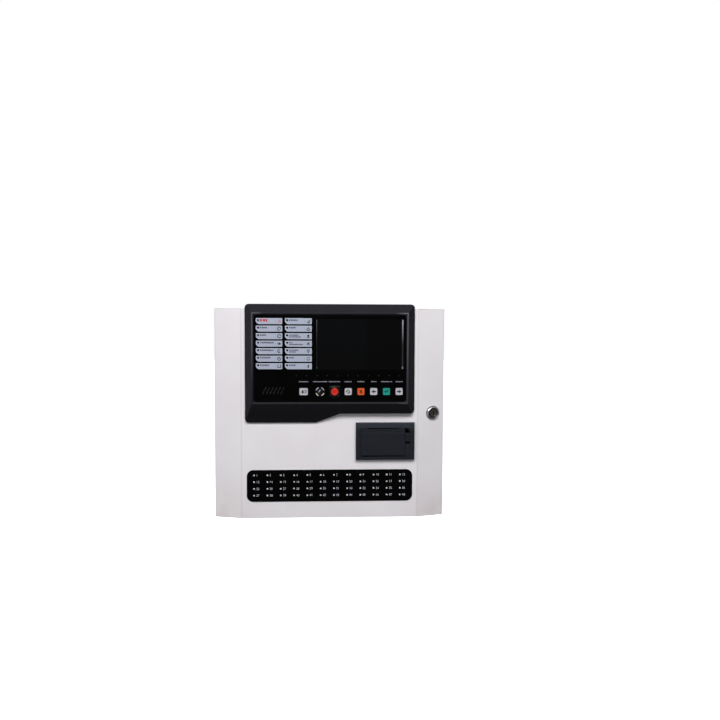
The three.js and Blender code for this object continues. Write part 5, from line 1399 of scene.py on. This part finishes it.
def make_lock():
    refine("lock_body", "door", CHROME, 0.35)
    refine("lock_nut", "door", CHROME, 0.4)
    refine("lock_plug", "lock", PLUG_METAL, 0.2)
    refine("lock_cam", "lock", ZINC, 0.25)
    gasket = ring(13.4, 12.0, 0.02, 0.7, LOCK_SEAT, WING_NORMAL, 56, 0.2)
    piece("lock_gasket", gasket, "door", RUBBER)
    collar = ring(9.6, 7.2, 3.3, 3.58, LOCK_SEAT, WING_NORMAL, 56, 0.1)
    piece("lock_collar", collar, "door", DARK_PLASTIC, slot="fuse_black")
    bead = ring(10.7, 9.7, 3.3, 3.75, LOCK_SEAT, WING_NORMAL, 56, 0.2)
    piece("lock_bead", bead, "door", CHROME)


def tube(inner, outer, half, edge):
    """The profile of a tube about its middle, its outer edges bevelled."""
    return [
        (inner, -half), (outer - edge, -half), (outer, -half + edge),
        (outer, half - edge), (outer - edge, half), (inner, half), (inner, -half),
    ]  # fmt: skip


def make_printer():
    refine("printer_bezel", "door", PRINTER_FRAME, 0.5)
    refine("printer_chassis", "door", DARK_PLASTIC, 0.3)
    refine("thermal_head", "door", ZINC, 0.2)
    refine("printer_door", "printer_door", PRINTER_PLASTIC, 0.3)
    refine("printer_latch", "printer_latch", PRINTER_PLASTIC, 0.35)
    bezel, latch, feed = Place("printer_bezel"), Place("printer_latch"), Place("feed_button")
    ribs = []
    for index in range(5):
        low = latch.z - 5.6 + 2.2 * index
        near, far = latch.front - 0.28, latch.front + 0.3
        corners = (latch.left + 1.2, near, low), (latch.right - 1.2, far, low + 0.8)
        ribs.append(block(*corners, 0.15, 1))
    piece("latch_ribs", ribs, "printer_latch", PRINTER_PLASTIC)
    cover = Place("printer_door")
    dashes = [
        slab(rectangle(x, x + 2.4, -35.6, -35.0), cover.front - 0.06, cover.front + 0.02)
        for x in (cover.left + 2.0 + 4.1 * index for index in range(19))
    ]
    piece("tear_marks", dashes, "printer_door", FAINT_INK_AND_HIGHLIGHT)
    marks = [
        arc(feed.x, level, 1.1, 0.5, 30, 300, bezel.front - PRINT, bezel.front)
        for level in (-60.1, -70.0)
    ]
    piece("printer_marks", marks, "door", FAINT_INK_AND_HIGHLIGHT)
    radius, length = (feed.right - feed.left) / 2, feed.back - feed.front
    profile = [(0, 0), (radius, 0), (radius, length - 0.3), (radius - 0.3, length)]
    profile += [(radius * 0.6, length - 0.1), (0, length - 0.25)]
    cap = turned(profile, (feed.x, feed.back, feed.z), FRONT, 28)
    piece("feed_cap", cap, "feed_button", DARK_PLASTIC, stands_for=["feed_button"])
    roller = Place("platen_roller")
    middle, end = (roller.x, roller.y, roller.z), (roller.right - roller.left) / 2
    sleeve = turned(tube(2.0, 4.0, 29.0, 0.3), middle, RIGHT, 36)
    piece("platen_sleeve", sleeve, "platen", RUBBER, stands_for=["platen_roller"])
    shaft = turned(tube(0, 2.0, end, 0.2)[:-1], middle, RIGHT, 24)
    piece("platen_shaft", shaft, "platen", CHROME)
    roll = Place("paper_roll")
    middle, half = (roll.x, roll.y, roll.z), (roll.right - roll.left) / 2
    wound = turned(tube(6.6, (roll.top - roll.bottom) / 2, half, 0.3), middle, RIGHT, 64)
    piece("wound_paper", wound, "paper_roll", PAPER, stands_for=["paper_roll"])
    end = half - 0.4
    profile = [(5.8, -end), (6.58, -end), (6.58, end), (5.8, end), (5.8, -end)]
    piece("paper_core", turned(profile, middle, RIGHT, 40), "paper_roll", CREAM_AND_GLINT, slot="paper")


make_cabinet()
make_hinges()
make_knockouts()
make_electronics()
make_batteries()
make_fascia()
make_speaker()
make_door_boards()
make_zone_strip()
make_lock()
make_printer()


# ---------------------------------------------------------------- stage, light and camera


WHITE = (1, 1, 1, 1)
ROOM_LIGHT = 0.14
ROOM_SIDES = [("Z", 0.05, 0.8, 0.5), ("X", -0.3, -0.9, 0.9)]  # axis, its range and the most light
SOFTBOXES = {
    "softbox_above": ((0.0, -1.35, 1.1), (1.7, 0.7), 28.5),
    "fill_in_front": ((0.0, -1.9, -0.35), (2.0, 1.2), 3.5),
    "softbox_behind": ((0.6, 1.6, 1.2), (1.6, 1.2), 30),
}  # place, size and power


def make_stage():
    form = bmesh.new()
    bmesh.ops.create_grid(form, x_segments=1, y_segments=1, size=12)
    mesh = bpy.data.meshes.new("floor")
    form.to_mesh(mesh)
    form.free()
    floor = bpy.data.objects.new("floor", mesh)
    floor.location.z = -0.62
    bpy.context.scene.collection.objects.link(floor)
    pale = Finish("floor_pale", shade(250, 250, 250), 0.85, Emission_Strength=1.0)
    pale.set("Emission Color", WHITE)
    pale.set("Roughness", 0.8 + pale.noise(400, 2.0) * 0.1)
    mesh.materials.append(pale.material)
    floor.visible_diffuse = False
    floor.visible_glossy = False

    world = bpy.data.worlds.new("studio")
    world.use_nodes = True
    bpy.context.scene.world = world
    room = Tree(world.node_tree)
    seen, output = (world.node_tree.nodes[name] for name in ("Background", "World Output"))
    room.feed(seen.inputs["Color"], WHITE)
    room.feed(seen.inputs["Strength"], 1.0)
    direction = room.node("ShaderNodeTexCoord").outputs["Generated"]
    axes = room.node("ShaderNodeSeparateXYZ", None, {0: direction}).outputs
    shares = {}
    for index, (axis, low, high, share) in enumerate(ROOM_SIDES):
        ends = {"From Min": low, "From Max": high, "To Min": ROOM_LIGHT / 2, "To Max": share}
        rising = room.node("ShaderNodeMapRange", None, {"Value": axes[axis], **ends})
        shares[index] = rising.outputs[0]
    both = room.node("ShaderNodeMath", {"operation": "ADD"}, shares).outputs[0]
    lit = room.node("ShaderNodeBackground", None, {"Color": both, "Strength": 0.5}).outputs[0]
    by_eye = room.node("ShaderNodeLightPath").outputs["Is Camera Ray"]
    choose = room.node("ShaderNodeMixShader", None, {0: by_eye, 1: lit, 2: seen.outputs[0]})
    room.feed(output.inputs["Surface"], choose.outputs[0])

    for name, (place, size, power) in SOFTBOXES.items():
        light = bpy.data.lights.new(name, "AREA")
        light.shape = "RECTANGLE"
        light.size, light.size_y = size
        light.energy = power
        lamp = bpy.data.objects.new(name, light)
        lamp.location = place
        direction = Vector((0, -0.1, 0)) - Vector(place)
        lamp.rotation_euler = direction.to_track_quat("-Z", "Y").to_euler()
        lamp.visible_glossy = not name.startswith("fill")
        bpy.context.scene.collection.objects.link(lamp)


def make_camera():
    lens = bpy.data.cameras.new("camera")
    lens.lens, lens.sensor_width = 40, 36
    camera = bpy.data.objects.new("camera", lens)
    right = Vector((0.9984813, -0.0549522, 0.0039073))
    down = Vector((0.0006592, -0.0590020, -0.9982577))
    forward = Vector((0.0550870, 0.9967442, -0.0588762))
    turn = Matrix((right, -down, -forward)).transposed().to_4x4()
    camera.matrix_world = Matrix.Translation((-0.026496, -1.595298, 0.188427)) @ turn
    bpy.context.scene.collection.objects.link(camera)
    bpy.context.scene.camera = camera


make_stage()
make_camera()
bpy.context.scene.view_settings.view_transform = "Standard"
